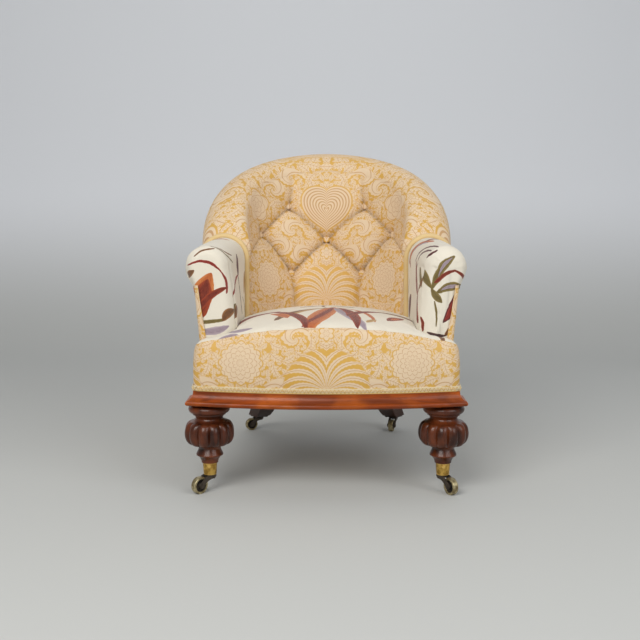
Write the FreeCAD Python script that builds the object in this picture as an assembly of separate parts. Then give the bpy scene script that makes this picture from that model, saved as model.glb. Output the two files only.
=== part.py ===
import FreeCAD, Part
import math
import os

# A low tub armchair on castors, in millimetres. +Z is up, the chair faces -Y, and the origin is on
# the floor at the middle of the chair's box. Left is -X and right is +X.

V = FreeCAD.Vector

# Driving dimensions of the whole chair
back_height = 752.0
arm_height = 545.0
arm_front_height = 537.0
side_half_width = 270.0
back_run = 235.0
widest_y = -20.0
arm_run = 252.0
rail_bottom_z = 197.0
rail_height = 35.0
seam_gap = 0.4
cut_overrun = 60.0

# The wall that the arms and the back share: how it leans, rolls over and is padded
back_lean_share = 0.25
side_lean_share = 0.08
arm_front_lean_share = 0.108
lean_fade_power = 1.585
least_bow_share = 0.2
crest_curve_powers = (0.946, 0.834)
back_roll = 46.0
side_roll = 50.0
arm_front_roll = 47.0
back_overhang = 18.5
side_overhang = 4.0
arm_front_overhang = 8.0
back_pad = 94.0
side_pad = 74.0
pad_crown = 8.0
pad_bottom_z = 300.0
roll_lip = 2.0
roll_tuck = 42.0
cover_thickness = 4.0
frame_thickness = 28.0
web_thickness = 2.0
hessian_thickness = 1.5
crest_rail_height = 34.0
side_rail_drop = 17.0
wall_turn_end = 90.0
wall_turn_steps = 16

# Back legs, which run on up as the posts of the back
post_turn = 38.0
post_half_turn = 5.0
foot_top_z = 40.0
foot_inset = 83.0
foot_kick = 86.0
ankle_inset = 99.0
ankle_kick = 51.0
ankle_z = 77.0
calf_inset = 108.0
calf_kick = 2.0
calf_z = 130.0
back_y = widest_y + back_run
back_leg_foot = V(side_half_width - foot_inset, back_y + foot_kick, foot_top_z)
back_leg_ankle = V(side_half_width - ankle_inset, back_y + ankle_kick, ankle_z)
back_leg_calf = V(side_half_width - calf_inset, back_y + calf_kick, calf_z)
back_leg_foot_size = 43.0
back_leg_ankle_size = 50.0
back_leg_calf_size = 50.0
back_leg_top_size = 46.0

# Arm stumps
stump_depth = 40.0
knuckle_padding = 20.0
knuckle_reach_shares = (0.0, 0.45, 0.78, 0.94, 1.0)
knuckle_shrink_shares = (0.0, 0.05, 0.16, 0.3, 0.48)

# Seat front, bowed in plan, and its moulding
front_corner_out = 13.0
front_corner_reach = 24.0
front_bow = 35.0
front_half_width = side_half_width + front_corner_out
front_corner_y = widest_y - arm_run - front_corner_reach
front_centre_y = front_corner_y - front_bow
front_rail_depth = 52.0
moulding_reach = 19.0
moulding_height = 30.5
moulding_bead = 5.6
moulding_lip = 3.0
moulding_hollow_shares = (0.34, 0.62)
corner_mitre_share = 0.75
gimp_height = 12.5
gimp_thickness = 3.5
side_cover_bottom_z = 200.0

# Seat cushion work
seam_centre_z = 372.0
seam_corner_z = 328.0
seat_crown = 13.0
seat_crown_set_back = 181.0
seat_crown_y = front_centre_y + seat_crown_set_back
seat_back_inset = 63.0
seat_back_y = back_y - seat_back_inset
seat_back_z = 356.0
seat_back_corner_z = 328.0
seat_back_corner_inset = 69.0
seat_back_corner_x = side_half_width - seat_back_corner_inset
seat_bulge = 5.0
seat_round = 12.0
seat_shoulder = 10.0
seat_cloth = 3.0
pad_core_share = 0.6
border_middle_share = 0.45
seat_rise_shares = (0.3, 0.55)
seat_fall_share = 0.36
seat_place_shares = (0.0, 0.34, 0.66, 0.86, 0.96)
border_out = 3.0
border_half_width = front_half_width + border_out

# Seat webbing, springs and hessian
strap_width = 45.0
strap_pitch = 55.0
back_strap_turn = 19.0
straps_each_way = 5
cross_strap_set_back = 81.0
cross_strap_first_y = front_corner_y + cross_strap_set_back
cross_strap_pitch = 68.75
lining_gap = 0.15
spring_pitch = 110.0
spring_set_back = 198.0
spring_middle_y = front_corner_y + spring_set_back
spring_wire = 4.0
spring_end_radius = 38.0
spring_waist_radius = 25.0
spring_waist_power = 1.5
spring_turns = 5
spring_steps_each_turn = 8
spring_height = 92.0
glue_block_leg = 45.0
glue_block_foot = 15.0

# Front legs: heights and radii of the turning, from the top down
leg_inset = 15.0
leg_set_back = 25.0
leg_x = side_half_width - leg_inset
leg_y = front_corner_y + leg_set_back
leg_spigot_radius = 9.0
leg_spigot_length = 28.0
spigot_clearance = 0.1
leg_top_radius = 27.0
torus_top_z = 193.0
torus_bottom_z = 176.0
torus_radius = 45.0
ring_z = 172.5
ring_radius = 36.0
neck_z = 164.7
neck_radius = 29.4
bulb_top_z = 157.0
bulb_top_radius = 40.4
bulb_widest_z = 131.0
bulb_widest_radius = 54.8
bulb_bottom_z = 106.0
bulb_bottom_radius = 38.0
low_neck_z = 96.6
low_neck_radius = 23.9
collar_z = 82.0
collar_radius = 29.3
cup_top_z = 65.0
cup_top_radius = 15.8
cup_bottom_z = 38.2
cup_bottom_radius = 14.0
cup_wall = 2.4
lobe_count = 12
lobe_depth = 7.0
lobe_phase = 5.5
lobe_fade_share = 0.45
bulb_ring_shares = (0.0, 0.12, 0.3, 0.5, 0.7, 0.88, 1.0)
neck_hollow_share = 0.6

# Castors
pin_radius = 4.0
pin_head_radius = 6.0
pin_head_height = 2.0
running_gap = 0.06
turning_gap = 0.35
hub_radius = 11.0
hub_height = 4.5
fork_plate = 3.2
fork_side_gap = 1.0
fork_boss_radius = 6.0
hub_flat_share = 0.8
cheek_upper_share = 0.66
cheek_lower_share = 0.42
cheek_heel_share = 0.28
boss_corner_shares = (0.6, 0.8)
fork_bridge_share = 0.75
axle_radius = 2.5
axle_head_radius = 4.0
axle_head_height = 1.4
front_wheel_radius = 18.5
front_wheel_width = 13.0
front_trail = 30.0
rear_wheel_radius = 16.3
rear_wheel_width = 12.0
rear_trail = 23.0
plate_size = 36.0
plate_thickness = 3.0
wheel_round = 1.6
wheel_dish = 2.0
wheel_rim_share = 0.72
cup_screw_radius = 2.2
cup_screw_length = 9.0
cup_screw_drop = 6.5
plate_screw_radius = 2.0
plate_screw_length = 6.0
screw_head_radius = 3.4
screw_head_height = 1.2
left_front_heading = (-0.69, -0.73)
right_front_heading = (0.50, -0.87)
left_rear_heading = (-0.90, -0.40)
right_rear_heading = (-0.30, -0.95)

# Deep buttoning: each button as a turn about the tub in degrees and a height
button_radius = 9.0
button_height = 7.0
button_edge_share = 0.4
button_sink = 16.0
dimple_radius = 27.0
dimple_floor_radius = 10.0
pleat_radius = 9.0
pleat_lift = 2.5
pleat_steps = 5
pleat_roll_angles = (178.0, 150.0, 122.0, 100.0)
top_button_turn = 20.0
outer_button_turn = 41.0
low_button_turn = 22.0
arm_button_turn = 69.0
top_button_share = 0.728
middle_button_share = 0.531
outer_button_share = 0.562
low_button_share = 0.334
arm_button_share = 0.727
pleat_foot_share = 0.115
top_pleat_spread_share = 0.9
outer_pleat_spread_share = 1.12

rail_top_z = rail_bottom_z + rail_height
back_pad_height = back_height - pad_bottom_z
top_button_z = pad_bottom_z + back_pad_height * top_button_share
middle_button_z = pad_bottom_z + back_pad_height * middle_button_share
outer_button_z = pad_bottom_z + back_pad_height * outer_button_share
low_button_z = pad_bottom_z + back_pad_height * low_button_share
arm_button_z = pad_bottom_z + (arm_height - pad_bottom_z) * arm_button_share
pleat_foot_z = pad_bottom_z + back_pad_height * pleat_foot_share
parts = {}


def along(start, end, share):
    """The value or point that lies the given share of the way from start to end."""
    return start + (end - start) * share


def outline(first, *steps):
    """A closed wire from a first point: a point is a straight run, a pair is an arc through to an end."""
    edges = []
    here = first
    for step in steps + (first,):
        if isinstance(step, tuple):
            edges.append(Part.Arc(here, step[0], step[1]).toShape())
            here = step[1]
        else:
            edges.append(Part.LineSegment(here, step).toShape())
            here = step
    return Part.Wire(edges)


def prism(wire, run):
    """A solid drawn from a closed flat wire along a vector."""
    return Part.Face(wire).extrude(run)


def block(low, high):
    """A box between two corners."""
    size = high - low
    return Part.makeBox(size.x, size.y, size.z, low)


def joined(shapes):
    """Several touching solids made one."""
    return shapes[0].multiFuse(shapes[1:]).removeSplitter()


def largest(shape):
    """The largest solid of a cut shape."""
    return max(shape.Solids, key=lambda solid: solid.Volume)


def mirrored(shape):
    """The same piece on the other side of the chair."""
    return shape.mirror(V(0, 0, 0), V(1, 0, 0))


def keep(name, shape):
    """Writes a piece under its own name and prints its volume."""
    parts[name] = shape
    shape.exportStep("parts/" + name + ".step")
    print(name, len(shape.Solids), shape.isValid(), round(shape.Volume))


# The tub's wall. A station is a place along it: the back and sides follow half an ellipse, from a
# turn of -90 degrees on the left, through 0 at the middle of the back, to 90 on the right, and from
# there the arm runs straight forward.


class Station:
    """A place along the wall, with the wall's height, lean, roll and padding there."""

    def __init__(self, turn, forward=0.0):
        side = math.copysign(1.0, turn)
        square = math.cos(math.radians(turn))
        span = math.sin(math.radians(abs(turn)))
        run_share = forward / arm_run
        self.turn = turn
        self.base = V(side * side_half_width * span, widest_y + back_run * square - forward, 0)
        self.out = V(side * span / side_half_width, square / back_run, 0).normalize()
        climb_power, crest_power = crest_curve_powers
        climb = (1.0 - (1.0 - square) ** climb_power) ** crest_power
        arm_top = along(arm_height, arm_front_height, run_share ** 2)
        self.top = along(arm_top, back_height, climb)
        side_lean = along(side_lean_share, arm_front_lean_share, run_share)
        self.lean = along(side_lean, back_lean_share, square ** lean_fade_power)
        self.bow = along(1.0, least_bow_share, square)
        self.roll = along(along(side_roll, arm_front_roll, run_share), back_roll, square)
        self.overhang = along(along(side_overhang, arm_front_overhang, run_share), back_overhang, square)
        self.tuck_angle = -math.degrees(math.acos(1.0 - (self.overhang - roll_lip) / self.roll))
        self.pad = along(side_pad, back_pad, square)
        self.roll_z = self.top - self.roll
        self.crest_z = self.roll_z - along(side_rail_drop, 0.0, square)
        self.roll_out = self.face(self.roll_z) + self.overhang - self.roll

    def face(self, z):
        """How far the finished outside stands out from the plan line at a height."""
        rise = z - (rail_top_z + cover_thickness + cover_thickness)
        full = self.roll_z - (rail_top_z + cover_thickness + cover_thickness)
        return self.lean * rise * along(1.0, rise / full, self.bow)

    def at(self, outward, z):
        """A point of the wall from its distance outward and its height."""
        return self.base + self.out * outward + V(0, 0, z)

    def upright(self, inset, low_z, high_z):
        """An arc up the wall, set in from the finished outside, as its low, middle and high points."""
        middle_z = along(low_z, high_z, 0.5)
        return [self.at(self.face(z) - inset, z) for z in (low_z, middle_z, high_z)]

    def inner_arc(self, clear=0.0):
        """The padded inside from the foot of the pad up to the roll, as three (outward, z) pairs."""
        middle_z = along(pad_bottom_z, self.roll_z, 0.5)
        return [
            (self.face(pad_bottom_z) - self.pad - clear, pad_bottom_z),
            (self.face(middle_z) - self.pad - pad_crown - clear, middle_z),
            (self.roll_out - self.roll - clear, self.roll_z),
        ]

    def inner(self, z):
        """How far out the padded inside lies at a height, on the circle through the inner arc."""
        (o1, z1), (o2, z2), (o3, z3) = self.inner_arc()
        slope_low = (o1 * o1 + z1 * z1 - o2 * o2 - z2 * z2) / 2
        slope_high = (o2 * o2 + z2 * z2 - o3 * o3 - z3 * z3) / 2
        spread = (o1 - o2) * (z2 - z3) - (o2 - o3) * (z1 - z2)
        centre_o = (slope_low * (z2 - z3) - slope_high * (z1 - z2)) / spread
        centre_z = ((o1 - o2) * slope_high - (o2 - o3) * slope_low) / spread
        reach = math.hypot(o2 - centre_o, z2 - centre_z)
        drop = math.sqrt(max(reach * reach - (z - centre_z) ** 2, 0.0))
        return centre_o - math.copysign(drop, centre_o - o2)

    def on_roll(self, angle, lift=0.0):
        """A point on the roll, where 180 degrees is its inner side and 90 its top."""
        reach = self.roll + lift
        turn = math.radians(angle)
        return self.at(self.roll_out + reach * math.cos(turn), self.roll_z + reach * math.sin(turn))


def wall_turns(first, last, steps):
    """Stations spread evenly between two turns."""
    return [Station(along(first, last, step / steps)) for step in range(steps + 1)]


def arm_stations(last, steps):
    """Stations spread evenly along the straight of an arm, forward of the side."""
    return [Station(90.0, along(0.0, last, step / steps)) for step in range(steps + 1)]


def wall_solid(stations, section):
    """A piece of the wall, lofted through its section at each station."""
    return Part.makeLoft([section(station) for station in stations], True, False)


def round_the_side(first_turn, last_forward, section, curved_steps=8, straight_steps=4):
    """A piece that follows the curve from a turn to the side and runs on straight along the arm."""
    curved = wall_solid(wall_turns(first_turn, 90.0, curved_steps), section)
    return joined([curved, wall_solid(arm_stations(last_forward, straight_steps), section)])


def round_the_back(section):
    """A piece right round the curve of the tub, made as two halves that mirror each other."""
    half = wall_solid(wall_turns(0.0, wall_turn_end, wall_turn_steps // 2), section)
    return joined([half, mirrored(half)])


arm_front = arm_run - knuckle_padding
knuckle_front_y = widest_y - arm_run
arm_front_y = widest_y - arm_front
frame_inset = cover_thickness + frame_thickness
web_inset = frame_inset + lining_gap
hessian_inset = web_inset + web_thickness + lining_gap
pad_inset = hessian_inset + hessian_thickness + lining_gap


def slab(inset, thickness, low_z, high_z):
    """A section of even thickness, whose outer side is set in from the finished outside."""
    def section(station):
        low = low_z(station) if callable(low_z) else low_z
        high = high_z(station) if callable(high_z) else high_z
        outer = station.upright(inset, low, high)
        inner = station.upright(inset + thickness, low, high)
        return outline(outer[0], (outer[1], outer[2]), inner[2], (inner[1], inner[0]))
    return section


def crest_top(station):
    return station.crest_z


def crest_bottom(station):
    return station.crest_z - crest_rail_height


def crest_middle(station):
    return station.crest_z - crest_rail_height / 2


def cover_top(station):
    return station.roll_z - roll_tuck - seam_gap


def pad_section(station):
    """A pad: up the inside, over the roll, under it to the outside, and round the crest rail."""
    foot, middle, shoulder = [station.at(o, z) for o, z in station.inner_arc()]
    outer_low_z = station.roll_z - roll_tuck
    rail_out = cover_thickness - seam_gap
    crest = station.crest_z + seam_gap
    back = station.upright(pad_inset, pad_bottom_z, crest)
    return outline(
        foot,
        (middle, shoulder),
        (station.on_roll(135.0), station.on_roll(90.0)),
        (station.on_roll(45.0), station.on_roll(0.0)),
        (station.on_roll(station.tuck_angle / 2), station.on_roll(station.tuck_angle)),
        station.at(station.face(outer_low_z), outer_low_z),
        station.at(station.face(outer_low_z) - rail_out, outer_low_z),
        station.at(station.face(crest) - rail_out, crest),
        back[2],
        (back[1], back[0]),
    )


def knuckle_section(forward, shrink):
    """A full section of the arm in front of its stump, drawn in towards the roll's middle."""
    station = Station(90.0, forward)

    def drawn(outward, z):
        return station.at(along(outward, station.roll_out, shrink), z)

    def rolled(angle):
        turn = math.radians(angle)
        reach = station.roll * (1.0 - shrink)
        return station.at(station.roll_out + reach * math.cos(turn), station.roll_z + reach * math.sin(turn))

    foot, middle, shoulder = station.inner_arc()
    tuck_z = station.roll_z - roll_tuck
    return outline(
        drawn(*foot),
        (drawn(*middle), rolled(180.0)),
        (rolled(135.0), rolled(90.0)),
        (rolled(45.0), rolled(0.0)),
        (rolled(station.tuck_angle / 2), rolled(station.tuck_angle)),
        drawn(station.face(tuck_z), tuck_z),
        (drawn(station.face(along(pad_bottom_z, tuck_z, 0.5)), along(pad_bottom_z, tuck_z, 0.5)),
         drawn(station.face(pad_bottom_z), pad_bottom_z)),
    )


# The wooden frame


def front_arc(out, z, half_width=front_half_width):
    """The bowed front at a distance out from the rail's face: its left, middle and right points."""
    corner = V(half_width + out, front_corner_y - out * corner_mitre_share, z)
    return V(-corner.x, corner.y, z), V(0, front_centre_y - out, z), corner


def front_band(inner_out, outer_out, low_z, height):
    """A band of the bowed front between two distances out from the rail's face."""
    left, middle, right = front_arc(outer_out, low_z)
    inner_left, inner_middle, inner_right = front_arc(inner_out, low_z)
    wire = outline(left, (middle, right), inner_right, (inner_middle, inner_left))
    return prism(wire, V(0, 0, height))


def make_front_rail():
    left, middle, right = front_arc(0.0, rail_bottom_z)
    back = V(0, front_rail_depth, 0)
    wire = outline(left, (middle, right), right + back, (middle + back, left + back))
    return prism(wire, V(0, 0, rail_height))


def bored_for_legs(rail):
    """The front rail with a blind hole for each front leg's spigot."""
    for side in (-1, 1):
        hole = Part.makeCylinder(leg_spigot_radius + spigot_clearance, leg_spigot_length + seam_gap,
                                 V(side * leg_x, leg_y, rail_bottom_z))
        rail = rail.cut(hole)
    return rail


def make_side_rail(front_rail):
    section = slab(cover_thickness + seam_gap, frame_thickness - seam_gap, rail_bottom_z, rail_top_z)
    return round_the_side(post_turn + post_half_turn, arm_run, section).cut(front_rail)


def make_back_rail():
    limit = post_turn - post_half_turn
    section = slab(cover_thickness + seam_gap, frame_thickness - seam_gap, rail_bottom_z, rail_top_z)
    return wall_solid(wall_turns(-limit, limit, 8), section)


def make_crest_rail():
    return round_the_back(slab(cover_thickness + seam_gap, frame_thickness - seam_gap, crest_bottom, crest_top))


def make_arm_rail():
    section = slab(cover_thickness + seam_gap, frame_thickness - seam_gap, crest_bottom, crest_top)
    return wall_solid(arm_stations(arm_front, 4), section)


def make_arm_stump():
    section = slab(cover_thickness + seam_gap, frame_thickness - seam_gap, rail_top_z, crest_bottom)
    places = (arm_front - stump_depth, arm_front - stump_depth / 2, arm_front)
    return wall_solid([Station(90.0, place) for place in places], section)


def leg_square(centre, size, outward):
    """A square level section of the back leg, turned to face outward."""
    across = V(-outward.y, outward.x, 0)
    half = size / 2
    corners = [centre + outward * (half * a) + across * (half * b)
               for a, b in ((1, -1), (1, 1), (-1, 1), (-1, -1))]
    return Part.makePolygon(corners + corners[:1])


def make_back_leg(crest_rail):
    """The right back leg: a splayed foot below the rail and a post above it, in one piece."""
    station = Station(post_turn)
    top = station.at(-cover_thickness - seam_gap - frame_thickness / 2, rail_bottom_z)
    squares = [
        leg_square(back_leg_foot, back_leg_foot_size, station.out),
        leg_square(back_leg_ankle, back_leg_ankle_size, station.out),
        leg_square(back_leg_calf, back_leg_calf_size, station.out),
        leg_square(top, back_leg_top_size, station.out),
    ]
    foot = Part.makeLoft(squares, True, False)
    section = slab(cover_thickness + seam_gap, frame_thickness - seam_gap, rail_bottom_z, crest_bottom)
    post = wall_solid(wall_turns(post_turn - post_half_turn, post_turn + post_half_turn, 2), section)
    return largest(joined([foot, post]).cut(crest_rail))


def make_glue_blocks(front_rail, side_rails):
    """Triangular blocks glued into the two front corners of the seat frame."""
    blocks = []
    inner_x = side_half_width - frame_inset
    inner_y = front_corner_y + front_rail_depth - glue_block_foot
    for side in (-1, 1):
        corner = V(side * inner_x, inner_y, rail_bottom_z + seam_gap)
        wire = outline(corner, corner + V(-side * glue_block_leg, 0, 0),
                       corner + V(0, glue_block_leg + glue_block_foot, 0))
        piece = prism(wire, V(0, 0, rail_height / 2 - seam_gap * 2))
        blocks.append(largest(piece.cut(front_rail).cut(side_rails[side])))
    return Part.makeCompound(blocks)


# Show wood and trim at the front


def make_moulding():
    """The bowed moulding: a hollow sweeping out to a bead, with a short return at each end."""
    left, middle, right = front_arc(0.0, rail_bottom_z)
    start = right + V(0, front_rail_depth, 0)
    path = Part.Wire([
        Part.LineSegment(start, right).toShape(),
        Part.Arc(right, middle, left).toShape(),
        Part.LineSegment(left, left + V(0, front_rail_depth, 0)).toShape(),
    ])

    def spot(out, up):
        return start + V(out, 0, up)

    hollow_foot = spot(moulding_reach - moulding_bead, moulding_bead * 2)
    hollow_top = spot(moulding_lip, moulding_height - moulding_lip)
    in_share, down_share = moulding_hollow_shares
    hollow_middle = spot(along(moulding_lip, moulding_reach - moulding_bead, in_share),
                         along(moulding_height - moulding_lip, moulding_bead * 2, down_share))
    profile = outline(
        spot(0, 0),
        spot(moulding_reach - moulding_bead, 0),
        (spot(moulding_reach, moulding_bead), hollow_foot),
        (hollow_middle, hollow_top),
        spot(moulding_lip, moulding_height),
        spot(0, moulding_height),
    )
    return path.makePipeShell([profile], True, False, 1)


def make_back_gimp(front_rail):
    """The gimp round the foot of the outside covers, from one end of the front rail to the other."""
    section = slab(-gimp_thickness - seam_gap, gimp_thickness, side_cover_bottom_z,
                   side_cover_bottom_z + gimp_height)
    straight = wall_solid(arm_stations(arm_run, 2), section)
    return largest(joined([round_the_back(section), straight, mirrored(straight)]).cut(front_rail))


# The seat


def arc_height(half_width, middle, end, x):
    """The height at x of the arc that rises to middle at the centre and falls to end at half_width."""
    fall = middle - end
    radius = (half_width ** 2 + fall ** 2) / (2 * fall)
    return middle - radius + math.sqrt(radius ** 2 - x ** 2)


def seam_z(x):
    return arc_height(border_half_width, seam_centre_z, seam_corner_z, x)


def front_y(x):
    return -arc_height(front_half_width, -front_centre_y, -front_corner_y, x)


def seat_section(x, inset, drawn_in):
    """The seat cut front to back at x: a bulging front, the top seam's shoulder, and a crowned top."""
    face_y = front_y(min(abs(x), front_half_width)) + inset + drawn_in
    top_z = seam_z(x) - inset - drawn_in
    rear_fall = (seat_back_z - seat_back_corner_z) * (x / seat_back_corner_x) ** 2
    rear_z = seat_back_z - rear_fall - inset
    crown_z = top_z + seat_crown
    middle_z = along(rail_top_z, top_z, border_middle_share)
    rear_y = seat_back_y + back_pad / 2

    def spot(y, z):
        return V(x, y, z)

    seam = spot(face_y + seat_shoulder, top_z)
    forward_share, upward_share = seat_rise_shares
    shoulder_y = along(face_y + seat_shoulder, seat_crown_y, forward_share)
    return outline(
        spot(face_y, rail_top_z),
        (spot(face_y - seat_bulge, middle_z), seam),
        (spot(shoulder_y, along(top_z, crown_z, upward_share)), spot(seat_crown_y, crown_z)),
        (spot(along(seat_crown_y, rear_y, 0.5), along(crown_z, rear_z, seat_fall_share)), spot(rear_y, rear_z)),
        spot(rear_y, rail_top_z),
    )


def seat_body(inset):
    """The whole seat as one crowned body, drawn in at its two ends."""
    half = border_half_width - inset
    right = [seat_section(half * share, inset, 0.0) for share in seat_place_shares]
    right.append(seat_section(half, inset, seat_round))
    left = [mirrored(wire) for wire in reversed(right[1:])]
    return Part.makeLoft(left + right, True, False)


def plan_prism(inset, low_z, height, front_edge_y):
    """A level solid that fills the tub's plan, set in from the finished outside."""
    half = side_half_width - inset
    ellipse = Part.Ellipse(V(0, widest_y, low_z), half, back_run - inset)
    curve = ellipse.toShape(0, math.pi)
    right = V(half, widest_y, low_z)
    left = V(-half, widest_y, low_z)
    front_right = V(half, front_edge_y, low_z)
    front_left = V(-half, front_edge_y, low_z)
    wire = Part.Wire([curve, Part.LineSegment(left, front_left).toShape(),
                      Part.LineSegment(front_left, front_right).toShape(),
                      Part.LineSegment(front_right, right).toShape()])
    return prism(wire, V(0, 0, height))


hessian_bottom_z = rail_bottom_z + spring_height + seam_gap * 2
hessian_top_z = hessian_bottom_z + hessian_thickness
far = back_run + side_half_width


def cut_to_tub(shape, pads):
    """Takes from the seat what lies under, inside and behind the pads of the arms and the back."""
    outside = block(V(-far, arm_front_y, rail_bottom_z), V(far, far, pad_bottom_z))
    inside = plan_prism(pad_inset, rail_bottom_z, pad_bottom_z, arm_front_y - cut_overrun)
    beyond = block(V(side_half_width - side_pad * pad_core_share, knuckle_front_y, pad_bottom_z),
                   V(far, far, back_height))
    under = block(V(-far, arm_front_y, rail_bottom_z), V(far, far, hessian_top_z))
    for waste in [outside.cut(inside), beyond, mirrored(beyond), under] + pads:
        shape = shape.cut(waste)
    return largest(shape)


def make_seat(pads):
    """The stuffing, the top cover and the front border of the seat."""
    outer = seat_body(0.0)
    inner = seat_body(seat_cloth)
    skin = outer.cut(inner)
    front = front_centre_y - cut_overrun
    low_z = rail_top_z - cut_overrun
    end_z = seam_z(border_half_width)
    wire = outline(V(-far, front, low_z), V(-far, front, end_z), V(-border_half_width, front, end_z),
                   (V(0, front, seam_centre_z), V(border_half_width, front, end_z)),
                   V(far, front, end_z), V(far, front, low_z))
    under_seam = prism(wire, V(0, arm_front_y - front, 0))
    border = skin.common(under_seam)
    return cut_to_tub(inner, pads), cut_to_tub(skin.cut(under_seam), pads), cut_to_tub(border, pads)


def make_webbing(legs):
    """Woven straps under the rails, run both ways."""
    straps = []
    low_z = rail_bottom_z - web_thickness
    half = strap_width / 2
    for number in range(straps_each_way):
        x = (number - (straps_each_way - 1) / 2) * strap_pitch
        y = cross_strap_first_y + number * cross_strap_pitch
        straps.append(block(V(x - half, -far, low_z), V(x + half, far, rail_bottom_z)))
        straps.append(block(V(-far, y - half, low_z), V(far, y + half, rail_bottom_z)))
    middle_inset = cover_thickness + frame_thickness / 2
    plan = plan_prism(middle_inset, low_z, web_thickness, front_corner_y + front_rail_depth / 3)
    net = joined(straps).common(plan)
    for leg in legs:
        net = net.cut(leg)
    return largest(net)


def make_spring():
    """One hourglass spring, standing on the webbing at the origin's plan place."""
    steps = spring_turns * spring_steps_each_turn
    rings = []
    for step in range(steps + 1):
        share = step / steps
        angle = math.radians(360.0 * spring_turns * share)
        waist = abs(2 * share - 1) ** spring_waist_power
        radius = along(spring_waist_radius, spring_end_radius, waist)
        centre = V(radius * math.cos(angle), radius * math.sin(angle),
                   along(spring_wire / 2, spring_height - spring_wire / 2, share))
        heading = V(-math.sin(angle), math.cos(angle), 0)
        rings.append(Part.Wire(Part.makeCircle(spring_wire / 2, centre, heading)))
    return Part.makeLoft(rings, True, True)


def make_springs():
    spring = make_spring()
    springs = []
    for column in (-1, 0, 1):
        for row in (-1, 0, 1):
            place = V(column * spring_pitch, spring_middle_y + row * spring_pitch, rail_bottom_z)
            springs.append(spring.translated(place + V(0, 0, seam_gap)))
    return Part.makeCompound(springs)


# Front legs


def turned(points, axis_x, axis_y):
    """A turned solid from (radius, z) steps; a pair of steps is an arc."""
    def spot(step):
        return V(axis_x + step[0], axis_y, step[1])
    steps = []
    for step in points[1:]:
        steps.append((spot(step[0]), spot(step[1])) if isinstance(step[0], tuple) else spot(step))
    wire = outline(spot(points[0]), *steps)
    return Part.Face(wire).revolve(V(axis_x, axis_y, 0), V(0, 0, 1), 360)


def lobed_ring(centre, valley, peak):
    """A level outline of equal lobes, each an arc from valley to valley through its peak."""
    edges = []
    step = 360.0 / lobe_count

    def spot(radius, degrees):
        turn = math.radians(degrees + lobe_phase)
        return centre + V(radius * math.cos(turn), radius * math.sin(turn), 0)

    for lobe in range(lobe_count):
        start = spot(valley, lobe * step)
        middle = spot(peak, (lobe + 0.5) * step)
        end = spot(valley, (lobe + 1) * step)
        edges.append(Part.Arc(start, middle, end).toShape())
    return Part.Wire(edges)


def make_front_leg(side):
    x = side * leg_x
    shoulder_radius = cup_top_radius + cup_wall
    spigot_bottom = cup_bottom_z + cup_wall * 2
    torus_middle = along(torus_bottom_z, torus_top_z, 0.5)
    upper = turned([
        (0, bulb_top_z - cup_wall), (neck_radius, bulb_top_z - cup_wall), (bulb_top_radius, bulb_top_z),
        ((neck_radius + cup_wall, along(bulb_top_z, neck_z, 0.5)), (neck_radius, neck_z)),
        ((neck_radius + cup_wall, along(neck_z, ring_z, neck_hollow_share)), (ring_radius, ring_z)),
        (ring_radius, torus_bottom_z), (torus_radius - lobe_depth, torus_bottom_z),
        ((torus_radius, torus_middle), (torus_radius - lobe_depth, torus_top_z)),
        (leg_top_radius, torus_top_z), (leg_top_radius, rail_bottom_z), (leg_spigot_radius, rail_bottom_z),
        (leg_spigot_radius, rail_bottom_z + leg_spigot_length), (0, rail_bottom_z + leg_spigot_length),
    ], x, leg_y)
    lower = turned([
        (0, spigot_bottom), (cup_bottom_radius - cup_wall, spigot_bottom),
        (cup_top_radius - cup_wall, cup_top_z), (shoulder_radius, cup_top_z),
        ((shoulder_radius + cup_wall, along(cup_top_z, collar_z, 0.5)), (collar_radius, collar_z)),
        (collar_radius, collar_z + cup_wall),
        ((low_neck_radius + cup_wall, along(collar_z, low_neck_z, neck_hollow_share)), (low_neck_radius, low_neck_z)),
        ((low_neck_radius + cup_wall, along(low_neck_z, bulb_bottom_z, neck_hollow_share)),
         (bulb_bottom_radius - lobe_depth, bulb_bottom_z)),
        (bulb_bottom_radius - lobe_depth, bulb_bottom_z + cup_wall), (0, bulb_bottom_z + cup_wall),
    ], x, leg_y)
    rings = []
    for share in bulb_ring_shares:
        z = along(bulb_bottom_z, bulb_top_z, share)
        above = z > bulb_widest_z
        end_z = bulb_top_z if above else bulb_bottom_z
        end_radius = bulb_top_radius if above else bulb_bottom_radius
        away = (z - bulb_widest_z) / (end_z - bulb_widest_z)
        peak = end_radius + (bulb_widest_radius - end_radius) * math.sqrt(max(1.0 - away ** 2, 0.0))
        depth = lobe_depth * along(1.0, lobe_fade_share, away ** 2)
        rings.append(lobed_ring(V(x, leg_y, z), peak - depth, peak))
    bulb = Part.makeLoft(rings, True, False)
    return joined([upper, bulb, lower])


def make_cup(side):
    """The brass cup on a front leg's toe, open above and bored for the castor's pin."""
    x = side * leg_x
    floor_z = cup_bottom_z + cup_wall * 2
    return turned([
        (0, cup_bottom_z), (cup_bottom_radius, cup_bottom_z), (cup_top_radius, cup_top_z),
        (cup_top_radius - cup_wall, cup_top_z), (cup_bottom_radius - cup_wall, floor_z), (0, floor_z),
    ], x, leg_y)


# Castors


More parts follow.
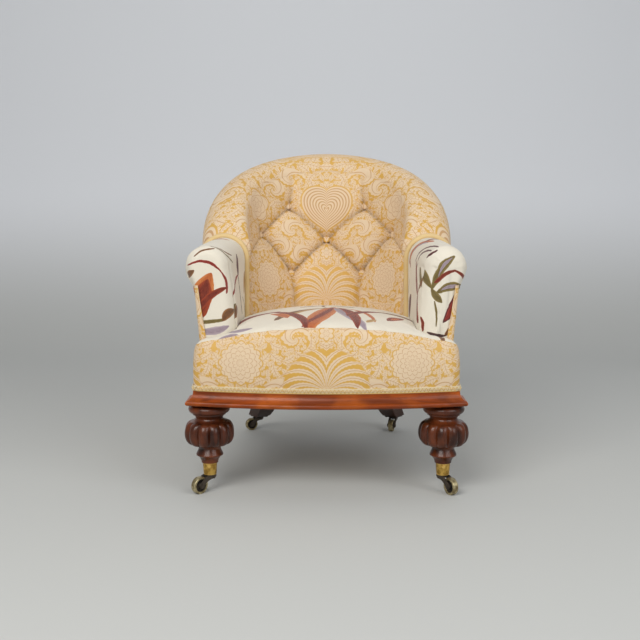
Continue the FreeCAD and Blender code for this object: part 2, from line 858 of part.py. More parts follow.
class Castor:
    """One castor: a pin in its carrier, a fork that swivels on the pin, an axle and a wheel."""

    def __init__(self, x, y, carrier_z, heading, wheel_radius, wheel_width, trail):
        reach = math.hypot(heading[0], heading[1])
        self.ahead = V(heading[0] / reach, heading[1] / reach, 0)
        self.across = V(-self.ahead.y, self.ahead.x, 0)
        self.pivot = V(x, y, 0)
        self.carrier_z = carrier_z
        self.wheel_radius = wheel_radius
        self.wheel_width = wheel_width
        self.centre = self.pivot + self.ahead * trail + V(0, 0, wheel_radius)
        self.trail = trail
        self.hub_top = carrier_z - turning_gap
        self.hub_bottom = self.hub_top - hub_height

    def spot(self, along_trail, z, sideways=0.0):
        return self.pivot + self.ahead * along_trail + self.across * sideways + V(0, 0, z)

    def pin(self, rise):
        """The swivel pin, headed below the fork's hub and fixed in the carrier above."""
        head_top = self.hub_bottom - turning_gap
        stem = Part.makeCylinder(pin_radius, self.carrier_z + rise - head_top + pin_head_height / 2,
                                 self.spot(0, head_top - pin_head_height / 2))
        head = Part.makeCylinder(pin_head_radius, pin_head_height, self.spot(0, head_top - pin_head_height))
        return joined([stem, head])

    def fork(self):
        """Two curved cheeks under a round hub, bored for the pin and the axle."""
        gap_half = self.wheel_width / 2 + fork_side_gap
        centre_z = self.wheel_radius
        tip = self.trail
        boss = fork_boss_radius
        top_z = self.hub_top
        flat = hub_radius * hub_flat_share
        heel = hub_radius * cheek_heel_share
        near_share, far_share = boss_corner_shares
        cheeks = []
        for low in (gap_half, -gap_half - fork_plate):

            def spot(along_trail, z):
                return self.spot(along_trail, z, low)

            cheek = outline(
                spot(-flat, top_z),
                spot(flat, top_z),
                (spot(tip * hub_flat_share, along(centre_z, top_z, cheek_upper_share)),
                 spot(tip + boss * near_share, centre_z + boss * far_share)),
                (spot(tip + boss, centre_z), spot(tip, centre_z - boss)),
                (spot(tip - boss * far_share, centre_z - boss * near_share), spot(tip - boss, centre_z)),
                (spot(tip * cheek_lower_share, along(centre_z, top_z, cheek_lower_share)),
                 spot(-flat / 2, self.hub_bottom - heel - heel / 2)),
                (spot(-flat + heel / 2, self.hub_bottom - heel / 2), spot(-flat, self.hub_bottom)),
            )
            cheeks.append(prism(cheek, self.across * fork_plate))
        hub = Part.makeCylinder(hub_radius, hub_height, self.spot(0, self.hub_bottom))
        half = gap_half + fork_plate / 2
        bridge_half = hub_radius * fork_bridge_share
        corners = ((-bridge_half, -half), (bridge_half, -half), (bridge_half, half), (-bridge_half, half))
        bridge = outline(*[self.spot(ahead, self.hub_bottom, aside) for ahead, aside in corners])
        fork = joined(cheeks + [hub, prism(bridge, V(0, 0, hub_height))])
        bore = Part.makeCylinder(pin_radius + running_gap, self.carrier_z, self.spot(0, 0))
        axle_hole = Part.makeCylinder(axle_radius, self.axle_length(), self.axle_end(), self.across)
        return fork.cut(bore).cut(axle_hole)

    def axle_length(self):
        return self.wheel_width + (fork_side_gap + fork_plate) * 2

    def axle_end(self):
        return self.centre - self.across * (self.axle_length() / 2)

    def axle(self):
        """The axle, riveted over outside both cheeks."""
        stem = Part.makeCylinder(axle_radius, self.axle_length(), self.axle_end(), self.across)
        near = Part.makeCylinder(axle_head_radius, axle_head_height,
                                 self.axle_end() - self.across * axle_head_height, self.across)
        far = Part.makeCylinder(axle_head_radius, axle_head_height,
                                self.axle_end() + self.across * self.axle_length(), self.across)
        return joined([stem, near, far])

    def wheel(self):
        """A dished wheel with a rounded tread and a running bore."""
        half = self.wheel_width / 2
        bore = axle_radius + running_gap
        hub = fork_boss_radius
        rim = self.wheel_radius * wheel_rim_share

        def spot(radius, sideways):
            return self.centre + V(0, 0, radius) + self.across * sideways

        tread = self.wheel_radius
        soft = wheel_round * (1.0 - math.sqrt(0.5))
        wire = outline(
            spot(bore, -half), spot(hub, -half), spot(hub + wheel_dish / 2, wheel_dish - half),
            spot(rim, wheel_dish - half), spot(rim + wheel_dish / 2, -half),
            spot(tread - wheel_round, -half), (spot(tread - soft, soft - half), spot(tread, wheel_round - half)),
            spot(tread, half - wheel_round), (spot(tread - soft, half - soft), spot(tread - wheel_round, half)),
            spot(rim + wheel_dish / 2, half), spot(rim, half - wheel_dish),
            spot(hub + wheel_dish / 2, half - wheel_dish), spot(hub, half), spot(bore, half),
        )
        return Part.Face(wire).revolve(self.centre, self.across, 360)


def foot_outward(side):
    """The level direction that a back foot faces."""
    outward = Station(post_turn).out
    return V(side * outward.x, outward.y, 0)


def make_plate(castor, outward):
    """The plate under a back foot, turned square to the leg."""
    square = leg_square(castor.pivot + V(0, 0, castor.carrier_z), plate_size, outward)
    return prism(square, V(0, 0, plate_thickness))


# Buttoning


def inner_point(turn, z, lift):
    """A point on the padded inside of the back, lifted towards the sitter."""
    station = Station(turn)
    return station.at(station.inner(z) - lift, z)


def inner_normal(turn, z):
    """The direction from the padded inside towards the sitter."""
    small = dimple_floor_radius / back_run
    across = inner_point(turn + math.degrees(small), z, 0) - inner_point(turn - math.degrees(small), z, 0)
    up = inner_point(turn, z + dimple_floor_radius, 0) - inner_point(turn, z - dimple_floor_radius, 0)
    normal = across.cross(up).normalize()
    return normal if normal.dot(Station(turn).out) < 0 else normal * -1.0


def button_spots():
    """The nine buttons as (turn, height), in three rows."""
    spots = [(0.0, middle_button_z)]
    for side in (-1, 1):
        spots += [(side * top_button_turn, top_button_z), (side * outer_button_turn, outer_button_z),
                  (side * low_button_turn, low_button_z), (side * arm_button_turn, arm_button_z)]
    return spots


def pleat_routes():
    """The right half's pleats, each a list of points on the padded inside between two of its places."""
    top = (top_button_turn, top_button_z)
    outer = (outer_button_turn, outer_button_z)
    low = (low_button_turn, low_button_z)
    arm = (arm_button_turn, arm_button_z)
    centre = (0.0, middle_button_z)
    ends = [(top, centre), (top, outer), (centre, low), (outer, low), (outer, arm),
            (low, (low_button_turn, pleat_foot_z)), (arm, (arm_button_turn, pleat_foot_z))]
    routes = []
    for first, last in ends:
        shares = [step / pleat_steps for step in range(pleat_steps + 1)]
        routes.append([inner_point(along(first[0], last[0], share), along(first[1], last[1], share),
                                   pleat_lift) for share in shares])
    for (turn, z), spread in ((top, top_pleat_spread_share), (outer, outer_pleat_spread_share)):
        edge = Station(turn * spread)
        route = [inner_point(along(turn, turn * spread, share), along(z, edge.roll_z, share), pleat_lift)
                 for share in (0.0, 0.5)]
        route += [edge.on_roll(angle, pleat_lift) for angle in pleat_roll_angles]
        routes.append(route)
    return routes


def pleat_cutter(route):
    """A round groove along a route, as a ruled skin through circles square to it."""
    rings = []
    for number, point in enumerate(route):
        before = route[max(number - 1, 0)]
        after = route[min(number + 1, len(route) - 1)]
        rings.append(Part.Wire(Part.makeCircle(pleat_radius, point, after - before)))
    return Part.makeLoft(rings, True, True)


def dimple_cutter(turn, z):
    """A cone whose narrow end is the floor that a button stands on."""
    normal = inner_normal(turn, z)
    floor = inner_point(turn, z, 0) - normal * button_sink
    spread = (dimple_radius - dimple_floor_radius) / button_sink
    mouth_radius = dimple_radius + spread * button_height
    return Part.makeCone(dimple_floor_radius, mouth_radius, button_sink + button_height, floor, normal)


def make_inside_back(half):
    """The deep-buttoned back: a thick pad with a dimple at each button and pleats between them."""
    for turn, z in button_spots():
        if turn < 0:
            continue
        half = half.cut(dimple_cutter(turn, z))
    for route in pleat_routes():
        half = half.cut(pleat_cutter(route))
    return joined([half, mirrored(half)])


def make_buttons():
    """Covered buttons, domed, each on the floor of its dimple."""
    rise = button_height * (1.0 - button_edge_share)
    dome_radius = (button_radius ** 2 + rise ** 2) / (2 * rise)
    buttons = []
    for turn, z in button_spots():
        normal = inner_normal(turn, z)
        floor = inner_point(turn, z, 0) - normal * button_sink
        dome = Part.makeSphere(dome_radius, floor + normal * (button_height - dome_radius), normal)
        buttons.append(dome.common(Part.makeCylinder(button_radius, button_height, floor, normal)))
    return Part.makeCompound(buttons)


# Arms and covers


def make_arm_pad():
    """The right arm's pad: it wraps the arm rail and closes over the stump in a round knuckle."""
    places = [along(seam_gap, arm_front, step / 4) for step in range(5)]
    wrap = wall_solid([Station(90.0, place) for place in places], pad_section)
    sections = [knuckle_section(arm_front + knuckle_padding * reach, shrink)
                for reach, shrink in zip(knuckle_reach_shares, knuckle_shrink_shares)]
    return joined([wrap, Part.makeLoft(sections, True, False)])


def make_outside_arm(front_rail, back_pad_shape):
    """The right outside cover, from the front of the arm round to the back post."""
    section = slab(0.0, cover_thickness, side_cover_bottom_z, cover_top)
    return largest(round_the_side(post_turn, arm_front, section).cut(front_rail).cut(back_pad_shape))


def make_outside_back(back_pad_shape):
    limit = post_turn - math.degrees(seam_gap / back_run)
    section = slab(0.0, cover_thickness, side_cover_bottom_z, cover_top)
    return largest(wall_solid(wall_turns(-limit, limit, 8), section).cut(back_pad_shape))


def make_back_webbing():
    """Upright straps of webbing across the inside of the back frame."""
    band = round_the_back(slab(web_inset, web_thickness, rail_bottom_z + rail_height / 2, crest_middle))
    straps = []
    for turn in (-back_strap_turn, 0.0, back_strap_turn):
        way = Station(turn).base - V(0, widest_y, 0)
        strip = block(V(-strap_width / 2, 0, 0), V(strap_width / 2, far, back_height))
        strip.rotate(V(0, 0, 0), V(0, 0, 1), -math.degrees(math.atan2(way.x, way.y)))
        strip.translate(V(0, widest_y, 0))
        straps.append(largest(band.common(strip)))
    return Part.makeCompound(straps)


def make_back_hessian():
    return round_the_back(slab(hessian_inset, hessian_thickness, rail_bottom_z + rail_height / 2, crest_middle))


def make_arm_hessian(front_rail):
    section = slab(hessian_inset, hessian_thickness, rail_bottom_z + rail_height / 2, crest_middle)
    return largest(wall_solid(arm_stations(arm_front, 2), section).cut(front_rail))


def screw(head, inward, radius, length):
    """A screw with a low round head outside and its stem running inward."""
    stem = Part.makeCylinder(radius, length, head, inward)
    cap = Part.makeCylinder(screw_head_radius, screw_head_height, head - inward * screw_head_height, inward)
    return joined([stem, cap])


def cup_screw(side):
    """The screw that holds a front cup on its leg, through the front of the cup's wall."""
    z = cup_top_z - cup_screw_drop
    taper = along(cup_top_radius, cup_bottom_radius, cup_screw_drop / (cup_top_z - cup_bottom_z))
    return screw(V(side * leg_x, leg_y - taper, z), V(0, 1, 0), cup_screw_radius, cup_screw_length)


def plate_screws(castor, outward):
    """Four screws up through the corners of a rear plate into the foot."""
    across = V(-outward.y, outward.x, 0)
    reach = plate_size / 2 - screw_head_radius * 1.2
    screws = []
    for ahead_side in (-1, 1):
        for across_side in (-1, 1):
            place = castor.pivot + outward * (reach * ahead_side) + across * (reach * across_side)
            screws.append(screw(place + V(0, 0, castor.carrier_z), V(0, 0, 1),
                                plate_screw_radius, plate_screw_length))
    return screws


os.makedirs("parts", exist_ok=True)

front_rail = make_front_rail()
right_side_rail = make_side_rail(front_rail)
left_side_rail = mirrored(right_side_rail)
crest_rail = make_crest_rail()
right_back_leg = make_back_leg(crest_rail)
back_legs = {-1: mirrored(right_back_leg), 1: right_back_leg}
front_legs = {-1: make_front_leg(-1), 1: make_front_leg(1)}
plain_half = wall_solid(wall_turns(0.0, wall_turn_end, wall_turn_steps // 2), pad_section)
arm_pad = make_arm_pad()

keep("front_rail", bored_for_legs(front_rail))
keep("right_side_rail", right_side_rail)
keep("left_side_rail", left_side_rail)
keep("back_rail", make_back_rail())
keep("crest_rail", crest_rail)
keep("corner_blocks", make_glue_blocks(front_rail, {-1: left_side_rail, 1: right_side_rail}))
keep("front_moulding", make_moulding())

pairs = {
    "arm_rail": make_arm_rail(),
    "arm_stump": make_arm_stump(),
    "arm_pad": arm_pad,
    "outside_arm": make_outside_arm(front_rail, plain_half),
    "arm_hessian": make_arm_hessian(front_rail),
}
for name, shape in pairs.items():
    keep("right_" + name, shape)
    keep("left_" + name, mirrored(shape))

keep("seat_webbing", make_webbing(list(back_legs.values()) + list(front_legs.values())))
keep("seat_springs", make_springs())
keep("seat_hessian", plan_prism(pad_inset, hessian_bottom_z, hessian_thickness, arm_front_y + seam_gap))
all_pads = [plain_half, mirrored(plain_half), arm_pad, mirrored(arm_pad)]
stuffing, seat_cover, front_border = make_seat(all_pads)
keep("seat_stuffing", stuffing)
keep("seat_cover", seat_cover)
keep("front_border", front_border)
gimp_bottom_z = rail_bottom_z + moulding_height
front_gimp = front_band(seam_gap, gimp_thickness + seam_gap, gimp_bottom_z, gimp_height)
keep("front_gimp", largest(front_gimp.cut(front_border)))
keep("inside_back", make_inside_back(plain_half))
keep("back_buttons", make_buttons())
keep("outside_back", make_outside_back(joined([plain_half, mirrored(plain_half)])))
keep("back_webbing", make_back_webbing())
keep("back_hessian", make_back_hessian())
keep("back_gimp", make_back_gimp(front_rail))

castors = {
    "left_front": Castor(-leg_x, leg_y, cup_bottom_z, left_front_heading,
                         front_wheel_radius, front_wheel_width, front_trail),
    "right_front": Castor(leg_x, leg_y, cup_bottom_z, right_front_heading,
                          front_wheel_radius, front_wheel_width, front_trail),
    "left_rear": Castor(-back_leg_foot.x, back_leg_foot.y, foot_top_z - plate_thickness, left_rear_heading,
                        rear_wheel_radius, rear_wheel_width, rear_trail),
    "right_rear": Castor(back_leg_foot.x, back_leg_foot.y, foot_top_z - plate_thickness, right_rear_heading,
                         rear_wheel_radius, rear_wheel_width, rear_trail),
}
cup_screw_pair = []
plate_screw_set = []
for name, castor in castors.items():
    side = -1 if name.startswith("left") else 1
    hand = name.split("_")[0]
    if name.endswith("front"):
        pin = castor.pin(cup_wall * 2)
        fixing = cup_screw(side)
        cup_screw_pair.append(fixing)
        keep(hand + "_front_leg", front_legs[side].cut(fixing))
        keep(name + "_cup", make_cup(side).cut(pin).cut(fixing))
    else:
        pin = castor.pin(plate_thickness)
        fixings = plate_screws(castor, foot_outward(side))
        plate_screw_set += fixings
        back_leg = back_legs[side]
        plate = make_plate(castor, foot_outward(side)).cut(pin)
        for fixing in fixings:
            back_leg = back_leg.cut(fixing)
            plate = plate.cut(fixing)
        keep(hand + "_back_leg", back_leg)
        keep(name + "_plate", plate)
    keep(name + "_pin", pin)
    keep(name + "_fork", castor.fork())
    keep(name + "_axle", castor.axle())
    keep(name + "_wheel", castor.wheel())
keep("cup_screws", Part.makeCompound(cup_screw_pair))
keep("plate_screws", Part.makeCompound(plate_screw_set))
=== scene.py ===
# %% [markdown]
# # A low tub armchair, deep buttoned and on castors
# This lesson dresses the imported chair. The wood and metal come straight from the CAD model and get
# finishes. All that is soft is made again here, because cloth swells, creases and carries a pattern.

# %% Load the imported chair
import math

import bpy
import numpy as np
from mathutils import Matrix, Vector


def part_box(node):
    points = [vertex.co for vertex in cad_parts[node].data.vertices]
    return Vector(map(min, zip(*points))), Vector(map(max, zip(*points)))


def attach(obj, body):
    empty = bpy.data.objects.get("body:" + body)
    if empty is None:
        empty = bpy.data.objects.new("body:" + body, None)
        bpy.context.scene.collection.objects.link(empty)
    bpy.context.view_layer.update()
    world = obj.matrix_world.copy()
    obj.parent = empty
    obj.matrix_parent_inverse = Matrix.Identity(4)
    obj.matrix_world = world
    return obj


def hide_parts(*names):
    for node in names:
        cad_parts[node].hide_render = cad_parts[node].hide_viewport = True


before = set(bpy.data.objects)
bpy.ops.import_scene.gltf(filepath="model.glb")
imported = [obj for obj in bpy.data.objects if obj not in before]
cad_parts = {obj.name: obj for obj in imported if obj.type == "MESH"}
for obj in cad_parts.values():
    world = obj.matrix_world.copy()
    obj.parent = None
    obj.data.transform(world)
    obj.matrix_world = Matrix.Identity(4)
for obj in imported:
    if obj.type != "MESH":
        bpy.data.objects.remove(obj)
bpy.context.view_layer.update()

print("pieces in the frame:", len(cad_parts))


# %% [markdown]
# ## The wall of the tub
# The arms and the back are one wall that changes its height, lean, roll and padding as it goes round.
# The same values made the CAD model, so cloth that is made from them lies where the frame carries it.
# A place on the wall is a turn about the tub, and on the straight of an arm a distance forward.

# %% The wall, in metres
half_width = 0.270
run_back = 0.235
widest = -0.020
arm_length = 0.252
knuckle = 0.020
arm_front = arm_length - knuckle
foot_z = 0.300
rail_top = 0.232
inset_of_pad = 0.0359


def mix(first, second, share):
    return first + (second - first) * share


class WallPlace:
    """One place on the wall: its plan point, its direction outward, and its upright curves."""

    def __init__(self, turn, forward=0.0):
        side = math.copysign(1.0, turn)
        square = max(math.cos(math.radians(turn)), 0.0)
        span = math.sin(math.radians(abs(turn)))
        run = min(forward / arm_length, 1.0)
        self.side = side
        self.base = Vector((side * half_width * span, widest + run_back * square - forward, 0))
        self.out = Vector((side * span / half_width, square / run_back, 0)).normalized()
        climb = (1.0 - (1.0 - square) ** 0.946) ** 0.834
        self.top = mix(mix(0.545, 0.537, run ** 2), 0.752, climb)
        self.lean = mix(mix(0.08, 0.108, run), 0.25, square ** 1.585)
        self.bow = mix(1.0, 0.2, square)
        self.roll = mix(mix(0.050, 0.047, run), 0.046, square)
        self.overhang = mix(mix(0.004, 0.008, run), 0.0185, square)
        self.tuck = -math.degrees(math.acos(1.0 - (self.overhang - 0.002) / self.roll))
        self.pad = mix(0.074, 0.094, square)
        self.roll_z = self.top - self.roll
        self.crest_z = self.roll_z - mix(0.017, 0.0, square)
        self.roll_out = self.face(self.roll_z) + self.overhang - self.roll

    def face(self, z):
        """How far the outside stands out from the plan line at a height."""
        start = rail_top + 0.008
        return self.lean * (z - start) * mix(1.0, (z - start) / (self.roll_z - start), self.bow)

    def at(self, outward, z):
        return self.base + self.out * outward + Vector((0, 0, z))

    def inner(self, z):
        """How far out the padded inside lies at a height, on a circle through three points."""
        middle = mix(foot_z, self.roll_z, 0.5)
        points = [
            (self.face(foot_z) - self.pad, foot_z),
            (self.face(middle) - self.pad - 0.008, middle),
            (self.roll_out - self.roll, self.roll_z),
        ]
        (o1, z1), (o2, z2), (o3, z3) = points
        low = (o1 * o1 + z1 * z1 - o2 * o2 - z2 * z2) / 2
        high = (o2 * o2 + z2 * z2 - o3 * o3 - z3 * z3) / 2
        spread = (o1 - o2) * (z2 - z3) - (o2 - o3) * (z1 - z2)
        centre_o = (low * (z2 - z3) - high * (z1 - z2)) / spread
        centre_z = ((o1 - o2) * high - (o2 - o3) * low) / spread
        reach = math.hypot(o2 - centre_o, z2 - centre_z)
        drop = math.sqrt(max(reach * reach - (z - centre_z) ** 2, 0.0))
        return centre_o - math.copysign(drop, centre_o - o2)

    def on_roll(self, degrees):
        angle = math.radians(degrees)
        return (self.roll_out + self.roll * math.cos(angle), self.roll_z + self.roll * math.sin(angle))


front_place = WallPlace(90.0, arm_front)
print("arm front, top of the roll:", round(front_place.top, 4), "m")


# %% [markdown]
# ## The section of a pad
# A pad goes up the inside, over the roll, tucks under it on the outside, passes round the wooden rail
# and comes back down behind. The section is a closed list of points. Each point also knows how far
# along the cloth it lies, so that the woven pattern can follow the surface.

# %% Points round a pad's section
inside_steps = 84
roll_steps = 40
tuck_drop = 0.042   # the pad ends this far below the roll's middle on the outside


def pad_ring(place):
    """The closed section as (outward, z) points, the length up to each, and how many of them show."""
    heights = [mix(foot_z, place.roll_z, step / inside_steps) for step in range(inside_steps)]
    points = [(place.inner(z), z) for z in heights]
    points += [place.on_roll(mix(180.0, place.tuck, step / roll_steps)) for step in range(roll_steps + 1)]
    shown = len(points)
    low = place.roll_z - tuck_drop
    crest = place.crest_z + 0.0004
    rail_out = 0.0036
    corners = [
        (place.face(low), low),
        (place.face(low) - rail_out, low),
        (place.face(crest) - rail_out, crest),
        (place.face(crest) - inset_of_pad, crest),
        (place.face(foot_z) - inset_of_pad, foot_z),
        points[0],
    ]
    for first, last, steps in zip(corners, corners[1:], (2, 8, 6, 16, 8)):
        points += [(mix(first[0], last[0], step / steps), mix(first[1], last[1], step / steps))
                   for step in range(steps)]
    points.append(points[0])
    lengths = [0.0]
    for first, last in zip(points, points[1:]):
        lengths.append(lengths[-1] + math.hypot(last[0] - first[0], last[1] - first[1]))
    return points, lengths, shown


ring_count = len(pad_ring(WallPlace(0.0))[0]) - 1


def section_normal(place, points, index):
    """The direction out of the cloth at one point of a section."""
    before, after = points[max(index - 1, 0)], points[min(index + 1, ring_count)]
    rise = Vector((after[0] - before[0], after[1] - before[1])).normalized()
    return place.out * -rise.y + Vector((0, 0, rise.x))


def mirrored(point, side):
    return Vector((point.x * side, point.y, point.z))


print("points round a section:", ring_count)


# %% [markdown]
# ## Bending a grid into cloth
# A plain grid is the easiest start for cloth: every row and column of it is known. Each of its points
# is sent to a place on the chair, and its map is rewritten in metres along the cloth. Everything else
# is deselected first, because an operator acts on all that is selected.

# %% A grid that is bent into place


def only(piece):
    bpy.ops.object.select_all(action="DESELECT")
    bpy.context.view_layer.objects.active = piece
    piece.select_set(True)


def joined(pieces, name):
    """Joins pieces into the first of them, which takes the name."""
    only(pieces[0])
    for piece in pieces[1:]:
        piece.select_set(True)
    if len(pieces) > 1:
        bpy.ops.object.join()
    pieces[0].name = name
    return pieces[0]


def store(piece, name, values):
    """Keeps a value on every point, so that the values outlive a merge of points."""
    attribute = piece.data.attributes.new(name, "FLOAT", "POINT")
    attribute.data.foreach_set("value", values.astype(np.float32))


def stored(piece, name):
    values = np.zeros(len(piece.data.vertices), dtype=np.float32)
    piece.data.attributes[name].data.foreach_get("value", values)
    return values


def bent_grid(name, across, up, place, cloth_place):
    """A grid of across by up faces; place and cloth_place take shares from 0 to 1 both ways."""
    bpy.ops.object.select_all(action="DESELECT")
    bpy.ops.mesh.primitive_grid_add(x_subdivisions=across, y_subdivisions=up, size=2, location=(0, 0, 0))
    piece = bpy.context.object
    piece.name = name
    piece.data.name = name
    for point in piece.data.uv_layers[0].data:
        a = round(point.uv.x * across)
        b = round(point.uv.y * up)
        point.uv = cloth_place(a / across, b / up)
    for vertex in piece.data.vertices:
        a = round((vertex.co.x + 1) / 2 * across)
        b = round((vertex.co.y + 1) / 2 * up)
        vertex.co = place(a / across, b / up)
    return piece


def close_up(piece, distance=0.0001, fill=True):
    """Merges the edges that meet, fills the open ends and turns the faces outward."""
    only(piece)
    bpy.ops.object.mode_set(mode="EDIT")
    bpy.ops.mesh.select_all(action="SELECT")
    bpy.ops.mesh.remove_doubles(threshold=distance)
    if fill:
        bpy.ops.mesh.select_all(action="DESELECT")
        bpy.ops.mesh.select_non_manifold(extend=False)
        bpy.ops.mesh.fill_holes(sides=0)
    bpy.ops.mesh.select_all(action="SELECT")
    bpy.ops.mesh.normals_make_consistent(inside=False)
    bpy.ops.object.mode_set(mode="OBJECT")
    bpy.ops.object.shade_smooth()
    return piece


def finish_with(piece, kind, **settings):
    """Adds one modifier, sets it and applies it."""
    only(piece)
    modifier = piece.modifiers.new(kind.lower(), kind)
    for name, value in settings.items():
        setattr(modifier, name, value)
    bpy.ops.object.modifier_apply(modifier=modifier.name)
    return piece


# %% [markdown]
# ## Letting a pad swell
# Stuffing pushes its cover out until the cloth is tight. Blender's cloth with a little pressure does
# that. The points that stitches or the frame hold are pinned, gravity is off, and no point may move
# further than a cap, so the pad keeps its size.

# %% Cloth with pressure


def swell(piece, held, pressure, cap, frames=12):
    stiffness = 12.0
    only(piece)
    group = piece.vertex_groups.new(name="held")
    for index, weight in enumerate(held):
        group.add([index], float(weight), "REPLACE")
    start = np.array([vertex.co[:] for vertex in piece.data.vertices])
    cloth = piece.modifiers.new("swelling", "CLOTH")
    settings = cloth.settings
    settings.quality = 3
    settings.mass = 0.3
    settings.tension_stiffness = stiffness
    settings.compression_stiffness = stiffness
    settings.shear_stiffness = stiffness / 3
    settings.bending_stiffness = 0.4
    settings.use_pressure = True
    settings.uniform_pressure_force = pressure
    settings.effector_weights.gravity = 0.0
    settings.vertex_group_mass = "held"
    cloth.collision_settings.use_collision = False
    scene = bpy.context.scene
    for number in range(1, frames + 1):
        scene.frame_set(number)
    bpy.ops.object.modifier_apply(modifier=cloth.name)
    scene.frame_set(1)
    moved = np.array([vertex.co[:] for vertex in piece.data.vertices]) - start
    length = np.maximum(np.linalg.norm(moved, axis=1), 1e-9)
    moved *= (np.minimum(length, cap) / length)[:, None]
    piece.data.vertices.foreach_set("co", (start + moved).ravel())
    piece.data.update()
    piece.vertex_groups.clear()
    print(piece.name, "swelled by up to", round(float(min(length.max(), cap)) * 1000, 1), "mm")


# %% [markdown]
# ## The deep-buttoned back
# Twine pulls each button down into the stuffing, and the spare cloth between two buttons is folded into
# a pleat. The pleats leave the back in soft diamonds, and run on towards the rim and down to the seat.
# The depth at any point comes from its distance to the nearest button and to the nearest pleat, both
# measured along the cloth, and then the diamonds are swelled between them.

# %% Where the buttons and pleats are
# A turn in degrees and a height in metres: the middle button, and those on one side.
middle_button = (0.0, 0.540)
side_buttons = ((20.0, 0.629), (41.0, 0.554), (22.0, 0.451), (69.0, 0.478))
buttons = [middle_button]
for side in (-1, 1):
    buttons += [(side * turn, z) for turn, z in side_buttons]

mid_across, mid_back = 0.230, 0.185


def cloth_across(turn):
    """Length along the cloth from the middle of the back to a turn, on an ellipse half way through."""
    steps = 24
    total = 0.0
    for step in range(steps):
        angle = math.radians(turn * (step + 0.5) / steps)
        total += math.hypot(mid_across * math.cos(angle), mid_back * math.sin(angle))
    return total * math.radians(turn) / steps


def on_cloth(turn, z):
    """A place on the cloth's map. The bow of the inside makes the cloth a little longer than upright."""
    return np.array([cloth_across(turn), (z - foot_z) * 1.01])


pleats = []
for side in (-1, 1):
    top, outer, low, arm = [on_cloth(side * turn, z) for turn, z in side_buttons]
    centre = on_cloth(*middle_button)
    rim = on_cloth(side * 17.0, 0.712)
    shoulder = on_cloth(side * 49.0, 0.602)
    elbow = on_cloth(side * 76.0, 0.520)
    foot = on_cloth(side * 22.0, 0.345)
    arm_foot = on_cloth(side * 68.0, 0.345)
    # first end, last end, strength, and how far it has faded at the last end
    pleats += [
        (top, centre, 1.0, 0.0), (top, outer, 0.85, 0.0), (centre, low, 1.0, 0.0), (outer, low, 1.0, 0.0),
        (outer, arm, 0.6, 0.0), (low, foot, 0.9, 0.2), (arm, arm_foot, 0.5, 0.5),
        (top, rim, 0.9, 1.0), (outer, shoulder, 0.7, 1.0), (arm, elbow, 0.5, 1.0),
    ]
print("buttons:", len(buttons), "pleats:", len(pleats))


# %% How deep the cloth lies
crown = 0.0045          # the diamonds stand this far proud of the plain pad
valley_depth = 0.0125   # the broad valley beside a pleat
valley_width = 0.0300
fold_depth = 0.0140     # the sharp fold itself
fold_width = 0.0042
dimple_depth = 0.0180   # what a button pulls in further
dimple_width = 0.0160


def depth_at(spots):
    """Depth below the plain pad, how held the cloth is, and the gap to the nearest pleat."""
    depth = np.full(len(spots), -crown)
    held = np.zeros(len(spots))
    nearest = np.full(len(spots), 1.0)
    for first, last, strength, fade in pleats:
        run = last - first
        share = np.clip(((spots - first) @ run) / (run @ run), 0.0, 1.0)
        gap = np.linalg.norm(spots - (first + share[:, None] * run), axis=1)
        left = strength * (1.0 - fade * share ** 1.5)
        near = valley_depth * np.exp(-(gap / valley_width) ** 1.2) + fold_depth * np.exp(-gap / fold_width)
        depth = np.maximum(depth, near * left - crown)
        held = np.maximum(held, np.exp(-(gap / 0.006) ** 2) * np.minimum(left * 1.3, 1.0))
        nearest = np.minimum(nearest, (gap + 0.0005) / np.maximum(left, 0.001) ** 2)
    for turn, z in buttons:
        gap = np.linalg.norm(spots - on_cloth(turn, z), axis=1)
        depth += dimple_depth * np.exp(-(gap / dimple_width) ** 1.5)
        held = np.maximum(held, np.exp(-(gap / 0.016) ** 4))
    return depth, held, nearest


# %% The back's padding
back_steps = 176


def back_turn(a):
    return mix(-90.0, 90.0, a)


rings = {}


def back_ring(a):
    if a not in rings:
        place = WallPlace(back_turn(a))
        rings[a] = (place,) + pad_ring(place)
    return rings[a]


def back_point(a, b):
    place, points, lengths, shown = back_ring(a)
    return place.at(*points[round(b * ring_count)])


def back_cloth(a, b):
    place, points, lengths, shown = back_ring(a)
    return (cloth_across(back_turn(a)), lengths[round(b * ring_count)])


back = bent_grid("back_padding", back_steps, ring_count, back_point, back_cloth)
mesh = back.data
cloth_spots = np.zeros((len(mesh.vertices), 2))
shown_share = np.zeros(len(mesh.vertices))
inward = np.zeros((len(mesh.vertices), 3))
grid_columns = back_steps + 1
rim_fade_rows = 12
foot_fade_rows = 8
for vertex in mesh.vertices:
    column = vertex.index % grid_columns
    row = vertex.index // grid_columns
    place, points, lengths, shown = back_ring(column / back_steps)
    cloth_spots[vertex.index] = back_cloth(column / back_steps, row / ring_count)
    inward[vertex.index] = section_normal(place, points, row)
    if row < shown:
        shown_share[vertex.index] = min(1.0, (shown - row) / rim_fade_rows, (row + 2) / foot_fade_rows)
depth, held, nearest = depth_at(cloth_spots)
columns = np.arange(len(mesh.vertices)) % grid_columns

# The inside meets the roll in a hollow. Stuffing fills it, and more of it towards the arms.
hollow_wide = 0.042
junctions = np.array([back_ring(step / back_steps)[2][inside_steps] for step in range(back_steps + 1)])
from_junction = cloth_spots[:, 1] - junctions[columns]
turns_now = np.abs(back_turn(columns / back_steps))
junction_fill = 0.0070 + 0.0050 * np.clip((turns_now - 30.0) / 25.0, 0, 1)
depth -= junction_fill * np.exp(-(from_junction / hollow_wide) ** 2)

